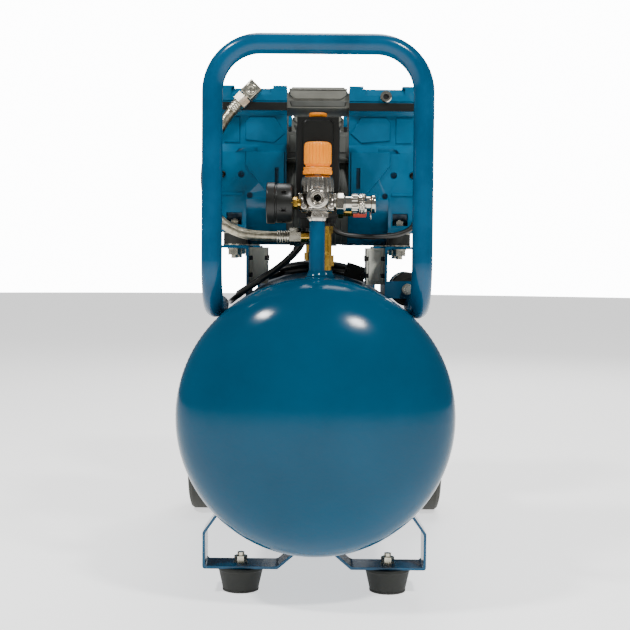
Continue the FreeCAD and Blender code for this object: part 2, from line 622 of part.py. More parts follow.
def make_hoses():
    """Each steel-braided hose runs from a head's elbow to the check valve on the tank."""
    between = (size("front_pump_y") + size("rear_pump_y")) / 2
    route = [(-89, -215, 552), (-101, -217, 538), (-113, -221, 518), (-124, -225, 493), (-127, -231, 463),
             (-122, -238, 436), (-108, -246, 414), (-84, -253, 402), (-62, -255, 399.5), (-44, -255, 399)]
    fittings = []
    for label, points in (("front_delivery_hose", route), ("rear_delivery_hose", half_turn(route, between))):
        cord_tube(label, points, size("hose_radius"))
    for pump, turn in (("front", 1), ("rear", -1)):
        face = size("front_pump_y") - size("pump_half_depth")
        spots = []
        for x, y, z in ((-76, face, 565), (-76, face - 19, 565), (-89, -215, 552), (-44, -255, 399)):
            spots.append(Vector(x, y, z) if turn == 1 else Vector(-x, 2 * between - y, z))
        boss_way = Vector(0, -turn, 0)
        first_way = Vector(-turn, 0, -1).normalize()
        end_way = Vector(turn, 0, 0)
        elbow = Part.makeCylinder(8, 14, spots[0], boss_way)
        elbow = elbow.fuse(Part.makeSphere(10, spots[1]))
        elbow = elbow.fuse(Part.makeCylinder(8, spots[2].distanceToPoint(spots[1]), spots[1], first_way))
        nut = Part.makeCylinder(9.5, 12, spots[3] + end_way * 14, end_way)
        nut = nut.fuse(Part.makeCylinder(7.5, 14, spots[3], end_way))
        fittings += [shaped(elbow), shaped(nut)]
    sub_part("hose_fittings", group(*fittings))


def make_leads():
    cord_tube("front_motor_lead", [
        (16, -238, 415), (18, -238, 408), (26, -237, 403), (38, -235, 401), (54, -231, 400), (72, -226, 400),
        (90, -219, 402), (104, -211, 407), (111, -204, 413), (112, -196, 416)], size("motor_lead_radius"))
    cord_tube("rear_motor_lead", [
        (-14, -240, 409), (-16, -240, 397), (-25, -239, 382), (-42, -237, 366), (-64, -233, 350),
        (-84, -227, 336), (-96, -212, 327), (-101, -180, 323), (-102, -148, 322), (-101, -112, 323),
        (-99, -76, 325), (-98, -40, 325), (-98, -4, 326), (-96, 32, 327), (-90, 60, 331), (-77, 83, 340),
        (-59, 102, 352), (-42, 122, 364), (-32, 140, 377), (-28, 152, 394)], size("motor_lead_radius"))
    cord_tube("mains_lead", [
        (-12, -216, 409), (-14, -216, 397), (-23, -215, 382), (-39, -215, 368), (-57, -214, 355),
        (-74, -211, 344), (-86, -201, 336), (-91, -184, 333), (-92, -160, 331.5), (-92, -130, 332),
        (-91, -102, 332), (-88, -76, 335), (-79, -52, 341), (-66, -30, 347), (-51, -8, 354)],
        size("mains_radius"))
    middle = size("coil_y")
    ring = Part.makeCylinder(size("coil_outer"), 120, Vector(0, middle, 300))
    ring = ring.cut(Part.makeCylinder(size("coil_inner"), 120, Vector(0, middle, 300)))
    crown = Part.makeCylinder(size("tank_radius") + 0.4 + size("coil_rise"), 200,
                              Vector(0, middle - 100, size("tank_height")), Vector(0, 1, 0))
    crown = crown.cut(Part.makeCylinder(size("tank_radius") + 0.4, 200,
                                        Vector(0, middle - 100, size("tank_height")), Vector(0, 1, 0)))
    sub_part("mains_coil", shaped(ring.common(crown)))
    ground = size("tank_height") + size("tank_radius") + 0.5
    plug_back = middle - 52
    plug = Part.makeBox(26, 30, 18, Vector(-13, plug_back - 30, ground))
    pins = [Part.makeCylinder(2.4, 18, Vector(x, plug_back - 30, ground + 9), Vector(0, -1, 0))
            for x in (-9.5, 9.5)]
    neck = Part.makeCone(6.5, 4.2, 32, Vector(0, plug_back, ground + 9), Vector(0, 1, 0))
    plug = plug.fuse([*pins, neck])
    lean = 18
    plug.rotate(Vector(0, 0, size("tank_height")), Vector(0, 1, 0), lean)
    sub_part("mains_plug", shaped(plug))


make_tank()
make_chassis()
make_pump_brackets()
make_pump("front")
make_pump("rear")
for shared_label, pieces in SHARED.items():
    sub_part(shared_label, group(*pieces))
make_outlet()
make_switch()
make_hoses()
make_leads()
doc.recompute()

faults = [thing.Label for thing in doc.Objects if set(thing.State) & {"Invalid", "Error"}]
faults += [thing.Label for thing in SUB_PARTS if thing.Shape.isNull() or not thing.Shape.isValid()]
if faults:
    raise SystemExit(f"these objects failed: {faults}")

os.makedirs("parts", exist_ok=True)
for thing in SUB_PARTS:
    thing.Shape.exportStep(f"parts/{thing.Label}.step")
print(f"{len(SUB_PARTS)} sub-parts written")
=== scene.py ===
from math import cos, floor, pi, radians, sin, sqrt, tau

import bmesh
import bpy
from mathutils import Matrix, Vector


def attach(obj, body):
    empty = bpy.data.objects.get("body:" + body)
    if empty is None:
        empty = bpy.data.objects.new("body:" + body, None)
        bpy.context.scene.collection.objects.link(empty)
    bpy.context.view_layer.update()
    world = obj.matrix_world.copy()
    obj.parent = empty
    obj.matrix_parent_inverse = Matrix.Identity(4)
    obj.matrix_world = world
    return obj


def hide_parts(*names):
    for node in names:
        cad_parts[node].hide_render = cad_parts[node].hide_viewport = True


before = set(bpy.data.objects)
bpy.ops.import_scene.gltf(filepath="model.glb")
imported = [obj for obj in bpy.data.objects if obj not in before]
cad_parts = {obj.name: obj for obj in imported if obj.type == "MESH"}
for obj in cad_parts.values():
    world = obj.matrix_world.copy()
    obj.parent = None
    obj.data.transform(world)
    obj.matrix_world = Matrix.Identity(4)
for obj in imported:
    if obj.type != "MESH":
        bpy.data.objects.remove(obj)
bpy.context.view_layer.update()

# Sizes are in millimetres, in the frame's own axes; meshes are scaled once, when they are made.
# The tank lies along Y, with the handle and the air outlet at its -Y end, and Z is up.

MM = 0.001
TANK_RADIUS = 150
TANK_HEIGHT = 205  # the barrel's axis
CRANK_HEIGHT = 446  # the axis of motors and cranks
PUMPS = {"front": -140, "rear": 165}  # the middle of each pump, in Y
PUMP_SUM = sum(PUMPS.values())
FACE = 56  # a casting's face, from the pump's middle
DUCT_FACE = 48
SHELL_FACE = 46
RISER_Y = -290
PORT_HEIGHT = 435  # the axis of gauge and coupler
PORTS = (0, RISER_Y, PORT_HEIGHT)
OUTLET = (0, RISER_Y, 440)  # the regulator's open front port
SWITCH_Y = -235
SHARP_ANGLE = radians(30)  # edges below it are shaded smooth and stay unrounded


# ---- materials ----

def linear(code):
    """An sRGB hex colour as linear red, green, blue and alpha."""
    parts = [int(code[start:start + 2], 16) / 255 for start in (1, 3, 5)]
    return (*[part / 12.92 if part <= 0.04045 else ((part + 0.055) / 1.055) ** 2.4 for part in parts], 1)


def add_node(tree, kind, inputs=None):
    """Add one node; its inputs are plain values or other nodes' outputs."""
    node = tree.nodes.new(f"ShaderNode{kind}")
    for name, value in (inputs or {}).items():
        if isinstance(value, bpy.types.NodeSocket):
            tree.links.new(value, node.inputs[name])
        else:
            node.inputs[name].default_value = value
    return node


def surface(name, colour, darker, roughness, metallic=0.0, grain_mm=0.0, grain_depth=0.0, patch_mm=60.0,
            **sockets):
    """A finish with two close colours in soft patches, uneven gloss and a fine grain."""
    material = bpy.data.materials.new(name)
    material.use_nodes = True
    tree = material.node_tree
    shader = tree.nodes["Principled BSDF"]
    place = add_node(tree, "TexCoord").outputs["Object"]
    patches = add_node(tree, "TexNoise", {"Vector": place, "Scale": 1 / (patch_mm * MM), "Detail": 4.0})
    ramp = add_node(tree, "ValToRGB", {"Fac": patches.outputs["Fac"]})
    for stop, position, code in zip(ramp.color_ramp.elements, (0.35, 0.65), (darker, colour)):
        stop.position = position
        stop.color = linear(code)
    tree.links.new(ramp.outputs["Color"], shader.inputs["Base Color"])
    gloss = add_node(tree, "MapRange", {"Value": patches.outputs["Fac"], "To Min": roughness * 0.85,
                                        "To Max": roughness * 1.15})
    tree.links.new(gloss.outputs["Result"], shader.inputs["Roughness"])
    shader.inputs["Metallic"].default_value = metallic
    if grain_depth:
        grain = add_node(tree, "TexNoise", {"Vector": place, "Scale": 1 / (grain_mm * MM), "Detail": 3.0})
        bump = add_node(tree, "Bump", {"Height": grain.outputs["Fac"], "Strength": 0.5,
                                       "Distance": grain_depth * MM})
        tree.links.new(bump.outputs["Normal"], shader.inputs["Normal"])
    for socket, value in sockets.items():
        shader.inputs[socket.replace("_", " ")].default_value = value
    return material


def make_materials():
    """Each finish is named for the real material and how its surface was made, but for the painted shade in
    hollows.
    """
    return {
        # Stoving enamel on sheet steel: deep colour under a wet shine, with slight orange peel.
        "enamel": surface("stoved_enamel_steel", "#00415c", "#003b54", 0.14, grain_mm=3.0, grain_depth=0.02,
                          patch_mm=120, Specular_IOR_Level=0.2),
        # The same enamel on tube and strip, a little greyer where it is thin.
        "tube_enamel": surface("stoved_enamel_tube", "#00496a", "#00405e", 0.18, grain_mm=2.0,
                               grain_depth=0.02, patch_mm=40, Specular_IOR_Level=0.3),
        # Paint on pressure die castings: satin, with the fine pitting of the cast skin.
        "casting": surface("painted_die_cast_aluminium", "#005a7c", "#004f6e", 0.24, grain_mm=1.2,
                           grain_depth=0.06, patch_mm=30, Specular_IOR_Level=0.42),
        # Black zinc plating on small screws.
        "black_zinc": surface("black_zinc_plate", "#23241f", "#1b1b18", 0.3, metallic=0.9, patch_mm=5),
        # Injection-moulded ABS with a fine spark-eroded grain.
        "black_abs": surface("moulded_black_abs", "#141512", "#10110e", 0.36, grain_mm=0.8,
                             grain_depth=0.03, patch_mm=25, Specular_IOR_Level=0.35),
        # Moulded glass-filled nylon: olive grey, with a dry sheen.
        "grey_nylon": surface("glass_filled_grey_nylon", "#73736a", "#66665e", 0.48, grain_mm=0.9,
                              grain_depth=0.05, patch_mm=25),
        # The same nylon in a darker grade, round the motors.
        "dark_nylon": surface("glass_filled_dark_nylon", "#4e504b", "#42443f", 0.5, grain_mm=0.9,
                              grain_depth=0.05, patch_mm=25),
        # Orange ABS from a polished mould: smooth, with a soft shine.
        "orange_abs": surface("moulded_orange_abs", "#f79000", "#ee8600", 0.34, patch_mm=18,
                              Specular_IOR_Level=0.25),
        # Red ABS from a polished mould.
        "red_abs": surface("moulded_red_abs", "#d24a35", "#bf3d2b", 0.35, patch_mm=10),
        # Moulded EPDM rubber: near black, with a chalky bloom in patches.
        "rubber": surface("moulded_epdm_rubber", "#1a1c16", "#12140f", 0.68, grain_mm=1.0,
                          grain_depth=0.08, patch_mm=14),
        # Solid rubber, cured in a mould: dark grey and dry.
        "tyre": surface("solid_rubber_tyre", "#33332d", "#262621", 0.72, grain_mm=1.4, grain_depth=0.1,
                        patch_mm=20),
        # Extruded PVC cable sheath with a low sheen.
        "pvc": surface("pvc_cable_sheath", "#17170f", "#10100c", 0.38, grain_mm=1.5, grain_depth=0.05,
                       patch_mm=20),
        # Bright chrome, plated on polished zinc and brass.
        "chrome": surface("chromed_zinc", "#cbc7bb", "#b4afa2", 0.1, metallic=1.0, patch_mm=9),
        # Chrome over an as-cast skin, so duller and uneven.
        "cast_chrome": surface("chromed_cast_zinc", "#c9c4ba", "#a9a296", 0.2, metallic=1.0, grain_mm=1.5,
                               grain_depth=0.12, patch_mm=6),
        # Zinc plating: pale, with a soft shine and a warm tinge.
        "zinc": surface("zinc_plated_steel", "#c8c3b2", "#aba695", 0.27, metallic=1.0, grain_mm=0.8,
                        grain_depth=0.03, patch_mm=7),
        # Steel, ground bright.
        "steel": surface("ground_steel", "#a8a8a4", "#8d8d89", 0.32, metallic=1.0, patch_mm=10),
        # Bare aluminium with its cast skin.
        "aluminium": surface("cast_aluminium", "#c4c5c1", "#a9aaa6", 0.38, metallic=1.0, grain_mm=1.0,
                             grain_depth=0.06, patch_mm=15),
        # Turned brass: yellow, slightly tarnished.
        "brass": surface("turned_brass", "#d9b04e", "#b88c34", 0.22, metallic=1.0, patch_mm=5),
        # Drawn stainless wire, woven as a sleeve; the weave itself is in the mesh.
        "braid": surface("stainless_wire_braid", "#b9b29c", "#857e6b", 0.3, metallic=1.0, patch_mm=5),
        # Moulded polypropylene: pale grey, matt.
        "pale_case": surface("polypropylene_case", "#f0efdf", "#e6e5d4", 0.55, grain_mm=1.0,
                             grain_depth=0.03, patch_mm=20),
        # Coated card under the print.
        "dial": surface("printed_dial_card", "#e9e9e2", "#dfdfd6", 0.6, patch_mm=15),
        # Screen-printed ink.
        "ink": surface("printing_ink", "#1c1c1a", "#141412", 0.5, patch_mm=15),
        # Painted shade: a near-black matt finish for thin discs set inside hollow ports and sockets,
        # standing in for their shade.
        "painted_shade": surface("painted_hollow_shade", "#07090a", "#050607", 0.8, patch_mm=15),
        # Moulded clear polycarbonate.
        "lens": surface("clear_polycarbonate", "#ffffff", "#f7f9f9", 0.03, patch_mm=20,
                        Transmission_Weight=1.0, IOR=1.585),
    }


PAINT = make_materials()


# ---- mesh tools ----

AXES = {
    "Z": Matrix.Identity(4),
    "X": Matrix.Rotation(pi / 2, 4, "Y"),
    "-X": Matrix.Rotation(-pi / 2, 4, "Y"),
    "Y": Matrix.Rotation(-pi / 2, 4, "X"),
    "-Y": Matrix.Rotation(pi / 2, 4, "X"),
}


def facing(axis, way):
    """The name of an axis, or of its opposite where way is negative."""
    return axis if way > 0 else f"-{axis}"


def placed(shape, at, axis="Z"):
    """Turn a mesh's own Z to an axis and move it to a place."""
    bmesh.ops.transform(shape, matrix=Matrix.Translation(at) @ AXES[axis], verts=shape.verts)
    return shape


def spun(shape, angle):
    """Turn a mesh about its own Z."""
    bmesh.ops.transform(shape, matrix=Matrix.Rotation(angle, 4, "Z"), verts=shape.verts)
    return shape


def aligned(shape, at, way):
    """Turn a mesh's own Z to any direction and move it to a place."""
    turn = Vector(way).to_track_quat("Z", "Y").to_matrix().to_4x4()
    bmesh.ops.transform(shape, matrix=Matrix.Translation(at) @ turn, verts=shape.verts)
    return shape


def prism(outline, low, high):
    """A flat outline of X and Y points, drawn out along Z."""
    shape = bmesh.new()
    base = shape.faces.new([shape.verts.new((x, y, low)) for x, y in outline])
    top = bmesh.ops.extrude_face_region(shape, geom=[base])
    moved = [part for part in top["geom"] if isinstance(part, bmesh.types.BMVert)]
    bmesh.ops.translate(shape, vec=(0, 0, high - low), verts=moved)
    bmesh.ops.recalc_face_normals(shape, faces=shape.faces)
    return shape


def box(x_ends, y_ends, z_ends):
    """A box from its least and greatest X, Y and Z."""
    return prism([(x_ends[0], y_ends[0]), (x_ends[1], y_ends[0]), (x_ends[1], y_ends[1]),
                  (x_ends[0], y_ends[1])], *z_ends)


def lathe(profile, steps=64):
    """Turn a profile of radius and height pairs about Z; it starts and ends on the axis or closes."""
    shape = bmesh.new()
    verts = [shape.verts.new((radius, 0, height)) for radius, height in profile]
    edges = [shape.edges.new(pair) for pair in zip(verts, verts[1:])]
    if profile[0][0] > 0 and profile[0] != profile[-1]:
        edges.append(shape.edges.new((verts[-1], verts[0])))
    bmesh.ops.spin(shape, geom=verts + edges, axis=(0, 0, 1), cent=(0, 0, 0), angle=tau, steps=steps,
                   use_merge=True, use_duplicate=False)
    bmesh.ops.remove_doubles(shape, verts=shape.verts, dist=1e-4)
    bmesh.ops.recalc_face_normals(shape, faces=shape.faces)
    return shape


def oval(middle, wide, tall, count):
    """The outline of a bead to be turned, as radius and height pairs."""
    return [(middle[0] + wide * cos(tau * step / count), middle[1] + tall * sin(tau * step / count))
            for step in range(count)]


def circle(radius, count=48):
    return [(radius * cos(tau * step / count), radius * sin(tau * step / count)) for step in range(count)]


def hexagon(across_flats):
    return circle(across_flats / sqrt(3), 6)


def drum(radius, low, high, count=48):
    return prism(circle(radius, count), low, high)


def along(axis, outline, low, high):
    """Draw an outline out along X, where its points are Y and Z, or along Y, where they are X and Z."""
    shape = prism(outline, low, high)
    for vert in shape.verts:
        first, second, depth = vert.co
        vert.co = (depth, first, second) if axis == "X" else (first, depth, second)
    bmesh.ops.recalc_face_normals(shape, faces=shape.faces)
    return shape


def skin(shape, rings, closed=False):
    """Faces between neighbouring rings of points, and over both ends unless the rings close."""
    count = len(rings[0])
    for near, far in zip(rings, rings[1:] + ([rings[0]] if closed else [])):
        for step in range(count):
            after = (step + 1) % count
            shape.faces.new((near[step], near[after], far[after], far[step]))
    if not closed:
        shape.faces.new(rings[0])
        shape.faces.new(rings[-1])
    bmesh.ops.recalc_face_normals(shape, faces=shape.faces)
    return shape


def tapered(outline, low, high, axis="Y", inset=1.0, edge=1.2):
    """A raised panel whose outer edge is sloped, so that it catches the light; high is its proud face."""
    way = 1 if high > low else -1
    centre = [sum(point[part] for point in outline) / len(outline) for part in (0, 1)]
    reach = [max(abs(point[part] - centre[part]) for point in outline) for part in (0, 1)]
    shrunk = [tuple(centre[part] + (point[part] - centre[part]) * (1 - inset / reach[part])
                    for part in (0, 1)) for point in outline]
    shape = bmesh.new()
    rings = []
    for ring, depth in ((outline, low), (outline, high - way * edge), (shrunk, high)):
        rings.append([shape.verts.new((depth, a, b) if axis == "X" else (a, depth, b)) for a, b in ring])
    return skin(shape, rings)


def relief_turned(profile, relief, steps, closed=True):
    """Turn radius and height pairs about Z; relief(angle, height) lowers the skin where it is not 0."""
    shape = bmesh.new()
    rings = []
    for radius, height in profile:
        ring = []
        for step in range(steps):
            angle = tau * step / steps
            reach = radius - relief(angle, height)
            ring.append(shape.verts.new((reach * cos(angle), reach * sin(angle), height)))
        rings.append(ring)
    return skin(shape, rings, closed)


def grooves(count, depth, low, high, sharp):
    """Upright grooves between two heights, for a grip."""
    def relief(angle, height):
        inside = low - 0.01 <= height <= high + 0.01
        return depth * (0.5 + 0.5 * cos(count * angle)) ** sharp if inside else 0.0
    return relief


def new_object(name, data):
    thing = bpy.data.objects.new(name, data)
    bpy.context.collection.objects.link(thing)
    return thing


def as_mesh(name, shape):
    """A shape as a named mesh; the shape itself is freed."""
    mesh = bpy.data.meshes.new(name)
    shape.to_mesh(mesh)
    shape.free()
    return mesh


def baked(thing):
    """A thing's mesh with its modifiers applied; the thing itself is removed."""
    bpy.context.view_layer.update()
    mesh = bpy.data.meshes.new_from_object(thing.evaluated_get(bpy.context.evaluated_depsgraph_get()))
    bpy.data.objects.remove(thing)
    return mesh


def joined(shapes):
    """Several closed shapes as one."""
    whole = bmesh.new()
    for shape in shapes:
        part = as_mesh("part", shape)
        whole.from_mesh(part)
        bpy.data.meshes.remove(part)
    return whole


def joined_mesh(name, shapes):
    """One mesh from several closed shapes, scaled from millimetres."""
    whole = joined(shapes)
    bmesh.ops.scale(whole, vec=(MM, MM, MM), verts=whole.verts)
    return as_mesh(name, whole)


def soften(thing, width):
    """Round the sharp edges."""
    bevel = thing.modifiers.new("Rounding", "BEVEL")
    bevel.width = width * MM
    bevel.segments = 2
    bevel.limit_method = "ANGLE"
    bevel.angle_limit = SHARP_ANGLE


def piece(name, shapes, material, body="frame", bevel=0.4, replaced=()):
    """A named piece of the object, riding on a body; in a node's place it also hides that node."""
    mesh = joined_mesh(name, shapes if isinstance(shapes, list) else [shapes])
    mesh.shade_smooth()
    mesh.set_sharp_from_angle(angle=SHARP_ANGLE)
    mesh.materials.append(PAINT[material])
    thing = new_object(name, mesh)
    if bevel:
        soften(thing, bevel)
    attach(thing, body)
    if replaced:
        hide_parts(*replaced)


def carve(solid, cutters):
    """Cut closed shapes out of a closed shape."""
    base = new_object("base", joined_mesh("base", [solid]))
    tool = new_object("tool", joined_mesh("tool", cutters))
    cut = base.modifiers.new("Cut", "BOOLEAN")
    cut.operation = "DIFFERENCE"
    cut.solver = "EXACT"
    cut.use_self = True
    cut.object = tool
    mesh = baked(base)
    bpy.data.objects.remove(tool)
    result = bmesh.new()
    result.from_mesh(mesh)
    bpy.data.meshes.remove(mesh)
    bmesh.ops.scale(result, vec=(1 / MM, 1 / MM, 1 / MM), verts=result.verts)
    return result


def both(shapes):
    """The given right-hand shapes and their mirror images on the left."""
    others = []
    for shape in shapes:
        other = shape.copy()
        bmesh.ops.scale(other, vec=(-1, 1, 1), verts=other.verts)
        bmesh.ops.reverse_faces(other, faces=other.faces)
        others.append(other)
    return shapes + others


def copied(node):
    """The frame's own mesh of a node, in millimetres."""
    shape = bmesh.new()
    shape.from_mesh(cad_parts[node].data)
    bmesh.ops.transform(shape, matrix=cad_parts[node].matrix_world, verts=shape.verts)
    bmesh.ops.scale(shape, vec=(1 / MM, 1 / MM, 1 / MM), verts=shape.verts)
    return shape


# ---- camera, light and floor ----

def make_camera():
    """Level with the pumps' feet, looking along the tank from the handle end."""
    camera = new_object("camera", bpy.data.cameras.new("camera"))
    camera.data.lens = 74.5
    camera.data.sensor_width = 36
    camera.location = (-0.0015, -1.708, 0.389)
    tilt_down = radians(3.03)
    roll = radians(0.5)
    turn = Matrix.Rotation(pi / 2 - tilt_down, 4, "X") @ Matrix.Rotation(roll, 4, "Z")
    camera.rotation_euler = turn.to_euler()
    bpy.context.scene.camera = camera


def area_light(name, place, aim, wide, tall, power):
    """A soft oval lamp, in metres and watts."""
    light = bpy.data.lights.new(name, "AREA")
    light.energy = power
    light.shape = "ELLIPSE"
    light.size = wide
    light.size_y = tall
    thing = new_object(name, light)
    thing.location = place
    thing.rotation_euler = (Vector(aim) - Vector(place)).to_track_quat("-Z", "Y").to_euler()


def make_studio():
    """Two lamps that show in the tank's end, two soft ones above and behind, and a pale floor."""
    sky_light = 0.24
    sky_seen = 14.0
    world = bpy.data.worlds.new("studio")
    world.use_nodes = True
    tree = world.node_tree
    sky = tree.nodes["Background"]
    sky.inputs["Color"].default_value = linear("#fbfcfd")
    seen = add_node(tree, "LightPath").outputs["Is Camera Ray"]
    brightness = add_node(tree, "MapRange", {"Value": seen, "To Min": sky_light, "To Max": sky_seen})
    tree.links.new(brightness.outputs["Result"], sky.inputs["Strength"])
    bpy.context.scene.world = world
    tank_end = (0, -0.36, 0.3)
    middle = (0, 0, 0.3)
    area_light("left_lamp", (-1.08, -1.01, 2.15), tank_end, 0.34, 0.2, 34)
    area_light("right_lamp", (0.83, -1.52, 2.01), tank_end, 0.3, 0.24, 38)
    area_light("top", (0.1, 0.7, 2.4), middle, 1.1, 1.1, 24)
    area_light("back", (0.6, 2.3, 1.6), middle, 0.9, 0.9, 26)
    ground = new_object("floor", joined_mesh("floor", [drum(9000, -2, -0.2, 96)]))
    # Pale coated floor, lit by itself so that it stays even.
    ground.data.materials.append(surface("lit_pale_floor", "#fbfbf9", "#f9f9f7", 0.95, patch_mm=900,
                                         Emission_Color=linear("#ffffff"), Emission_Strength=1.05))


make_camera()
make_studio()


# ---- hoses and leads ----

HOSE_ROUTE = [(-89, -215, 552), (-101, -217, 538), (-113, -221, 518), (-124, -225, 493), (-127, -231, 463),
              (-122, -238, 436), (-108, -246, 414), (-84, -253, 402), (-62, -255, 399.5), (-44, -255, 399)]
FRONT_LEAD = [(16, -238, 415), (18, -238, 408), (26, -237, 403), (38, -235, 401), (54, -231, 400),
              (72, -226, 400), (90, -219, 402), (104, -211, 407), (111, -204, 413), (112, -196, 416)]
REAR_LEAD = [(-14, -240, 409), (-16, -240, 397), (-25, -239, 382), (-42, -237, 366), (-64, -233, 350),
             (-84, -227, 336), (-96, -212, 327), (-101, -180, 323), (-102, -148, 322), (-101, -112, 323),
             (-99, -76, 325), (-98, -40, 325), (-98, -4, 326), (-96, 32, 327), (-90, 60, 331),
             (-77, 83, 340), (-59, 102, 352), (-42, 122, 364), (-32, 140, 377), (-28, 152, 394)]
MAINS_LEAD = [(-12, -216, 409), (-14, -216, 397), (-23, -215, 382), (-39, -215, 368), (-57, -214, 355),
              (-74, -211, 344), (-86, -201, 336), (-91, -184, 333), (-92, -160, 331.5), (-92, -130, 332),
              (-91, -102, 332), (-88, -76, 335), (-79, -52, 341), (-66, -30, 347), (-54, -10, 353)]
PLUG_END = [(49.5, -2, 360), (49.3, -9, 359.5)]
COIL_MIDDLE = (0, 12)
LEAD_DIAMETER = 6
MAINS_DIAMETER = 7.5
HOSE_RADIUS = 6.0
BRAID_DEPTH = 0.45
BRAID_PITCH = 3.2
BRAID_STEP = 0.6
STRANDS = 12


def in_metres(point):
    return [value * MM for value in point]


def nurbs_curve(name, points, diameter=0.0):
    """One smooth spline; its order is set once it has its points."""
    curve = bpy.data.curves.new(name, "CURVE")
    curve.dimensions = "3D"
    spline = curve.splines.new("NURBS")
    spline.points.add(len(points) - 1)
    for control, point in zip(spline.points, points):
        control.co = (*in_metres(point), 1)
    spline.order_u = 3
    spline.use_endpoint_u = True
    spline.resolution_u = 8
    curve.bevel_depth = diameter / 2 * MM
    curve.bevel_resolution = 6
    curve.use_fill_caps = True
    return new_object(name, curve)


def line_of(points):
    """The spline's own line through the points, with its length, in metres."""
    mesh = baked(nurbs_curve("line", points))
    line = [vert.co.copy() for vert in mesh.vertices]
    bpy.data.meshes.remove(mesh)
    return line, sum((ahead - here).length for here, ahead in zip(line, line[1:]))


def even_steps(line, step):
    """Points at even spacing along a line."""
    spots = [line[0]]
    left = step
    for here, ahead in zip(line, line[1:]):
        run = (ahead - here).length
        gone = 0.0
        while run - gone >= left:
            gone += left
            spots.append(here.lerp(ahead, gone / run))
            left = step
        left -= run - gone
    if (spots[-1] - line[-1]).length > step / 4:
        spots.append(line[-1])
    return spots


def weave(lengthwise, around):
    """Height of a plain wire weave, 0 to 1: two sets of helical strands that pass over and under."""
    first = lengthwise + around * STRANDS
    second = lengthwise - around * STRANDS
    over = (floor(first) + floor(second)) % 2 == 0
    bands = [sqrt(max(0.0, 1 - (2 * (value % 1) - 1) ** 2)) for value in (first, second)]
    return max(bands[0], 0.55 * bands[1]) if over else max(bands[1], 0.55 * bands[0])


def braided_tube(name, line, sides=96):
    """A mesh tube whose surface carries the wire weave."""
    spots = even_steps(line, BRAID_STEP * MM)
    shape = bmesh.new()
    side = Vector((0, 1, 0))
    rings = []
    for index, spot in enumerate(spots):
        ahead = spots[min(index + 1, len(spots) - 1)] - spots[max(index - 1, 0)]
        ahead.normalize()
        side = (side - ahead * side.dot(ahead)).normalized()
        other = ahead.cross(side)
        ring = []
        for step in range(sides):
            angle = tau * step / sides
            height = weave(index * BRAID_STEP / BRAID_PITCH, step / sides)
            reach = (HOSE_RADIUS - BRAID_DEPTH + BRAID_DEPTH * height) * MM
            ring.append(shape.verts.new(spot + (side * cos(angle) + other * sin(angle)) * reach))
        rings.append(ring)
    mesh = as_mesh(name, skin(shape, rings))
    mesh.shade_smooth()
    return new_object(name, mesh)


def half_turn(point):
    """The same point for the rear pump, which stands the other way round."""
    x, y, z = point
    return (-x, PUMP_SUM - y, z)


def dress_cord(thing, material, slot, *nodes):
    """Give a hose or a lead its material, ride it on the frame and hide the nodes that it stands for; slot
    is not used.
    """
    thing.data.materials.append(PAINT[material])
    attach(thing, "frame")
    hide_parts(*nodes)


def make_hoses():
    """Steel-braided hoses, 12 mm across, from each head to its check valve."""
    for pump, route in (("front", HOSE_ROUTE), ("rear", [half_turn(point) for point in HOSE_ROUTE])):
        line, length = line_of(route)
        hose = braided_tube(f"{pump}_braided_hose", line)
        dress_cord(hose, "braid", "braid", f"{pump}_delivery_hose")
        even_steps(line, 0.004)


def coil_turns():
    """The mains lead's put-away turns, lying on the tank's round crown in two layers."""
    radii = [49.3, 42.0, 34.6, 34.9, 42.2, 49.4]  # inwards below, then outwards above
    per_turn = 14
    first_angle = 190
    points = []
    for step in range(int(per_turn * (5 + first_angle / 360)) + 1):
        angle = radians(first_angle) - tau * step / per_turn
        spot = step / per_turn
        lower = min(int(spot), 5)
        ease = max(0.0, spot - lower - 0.5) * 2
        radius = radii[lower] + (radii[min(lower + 1, 5)] - radii[lower]) * ease
        radius += 0.5 * sin(3 * angle + 1.3 * lower)
        layer = min(1.0, max(0.0, (spot - 2.6) / 0.5))
        x = COIL_MIDDLE[0] + radius * cos(angle)
        y = COIL_MIDDLE[1] + radius * sin(angle)
        rise = 0.8 + MAINS_DIAMETER / 2 + layer * (MAINS_DIAMETER - 0.4)
        points.append((x, y, TANK_HEIGHT + sqrt((TANK_RADIUS + rise) ** 2 - x ** 2)))
    return points


def make_leads():
    """Sheathed leads; the mains lead ends in its plug on the tank's crown."""
    for name, route, node in (("front_lead", FRONT_LEAD, "front_motor_lead"),
                              ("rear_lead", REAR_LEAD, "rear_motor_lead")):
        lead = nurbs_curve(name, route, LEAD_DIAMETER)
        dress_cord(lead, "pvc", "cable", node)
        line_of(route)[1]
    whole = MAINS_LEAD[:-1] + coil_turns() + PLUG_END
    lead = nurbs_curve("mains_cable", whole, MAINS_DIAMETER)
    dress_cord(lead, "pvc", "cable", "mains_lead", "mains_coil")
    line_of(whole)[1]


make_hoses()
make_leads()


# ---- pumps ----

INNER_PANEL = [(38, 448), (38, 498), (83.5, 498), (83.5, 482), (60, 452), (55, 448)]
UPPER_PANEL = [(50, 538.5), (79, 538.5), (84, 533), (84, 511), (50, 508), (37.5, 519)]
CORNER_PANEL = [(90, 508), (90, 538.5), (115, 538.5), (115, 516), (108, 508)]
VENT_X = (44.7, 49.3)
VENT_Z = (455, 479)
BLOCK_FACE = 45  # the floor of a casting's recessed block
SCREW_HEIGHT = 471
PLUG_SPOT = (78, 561)


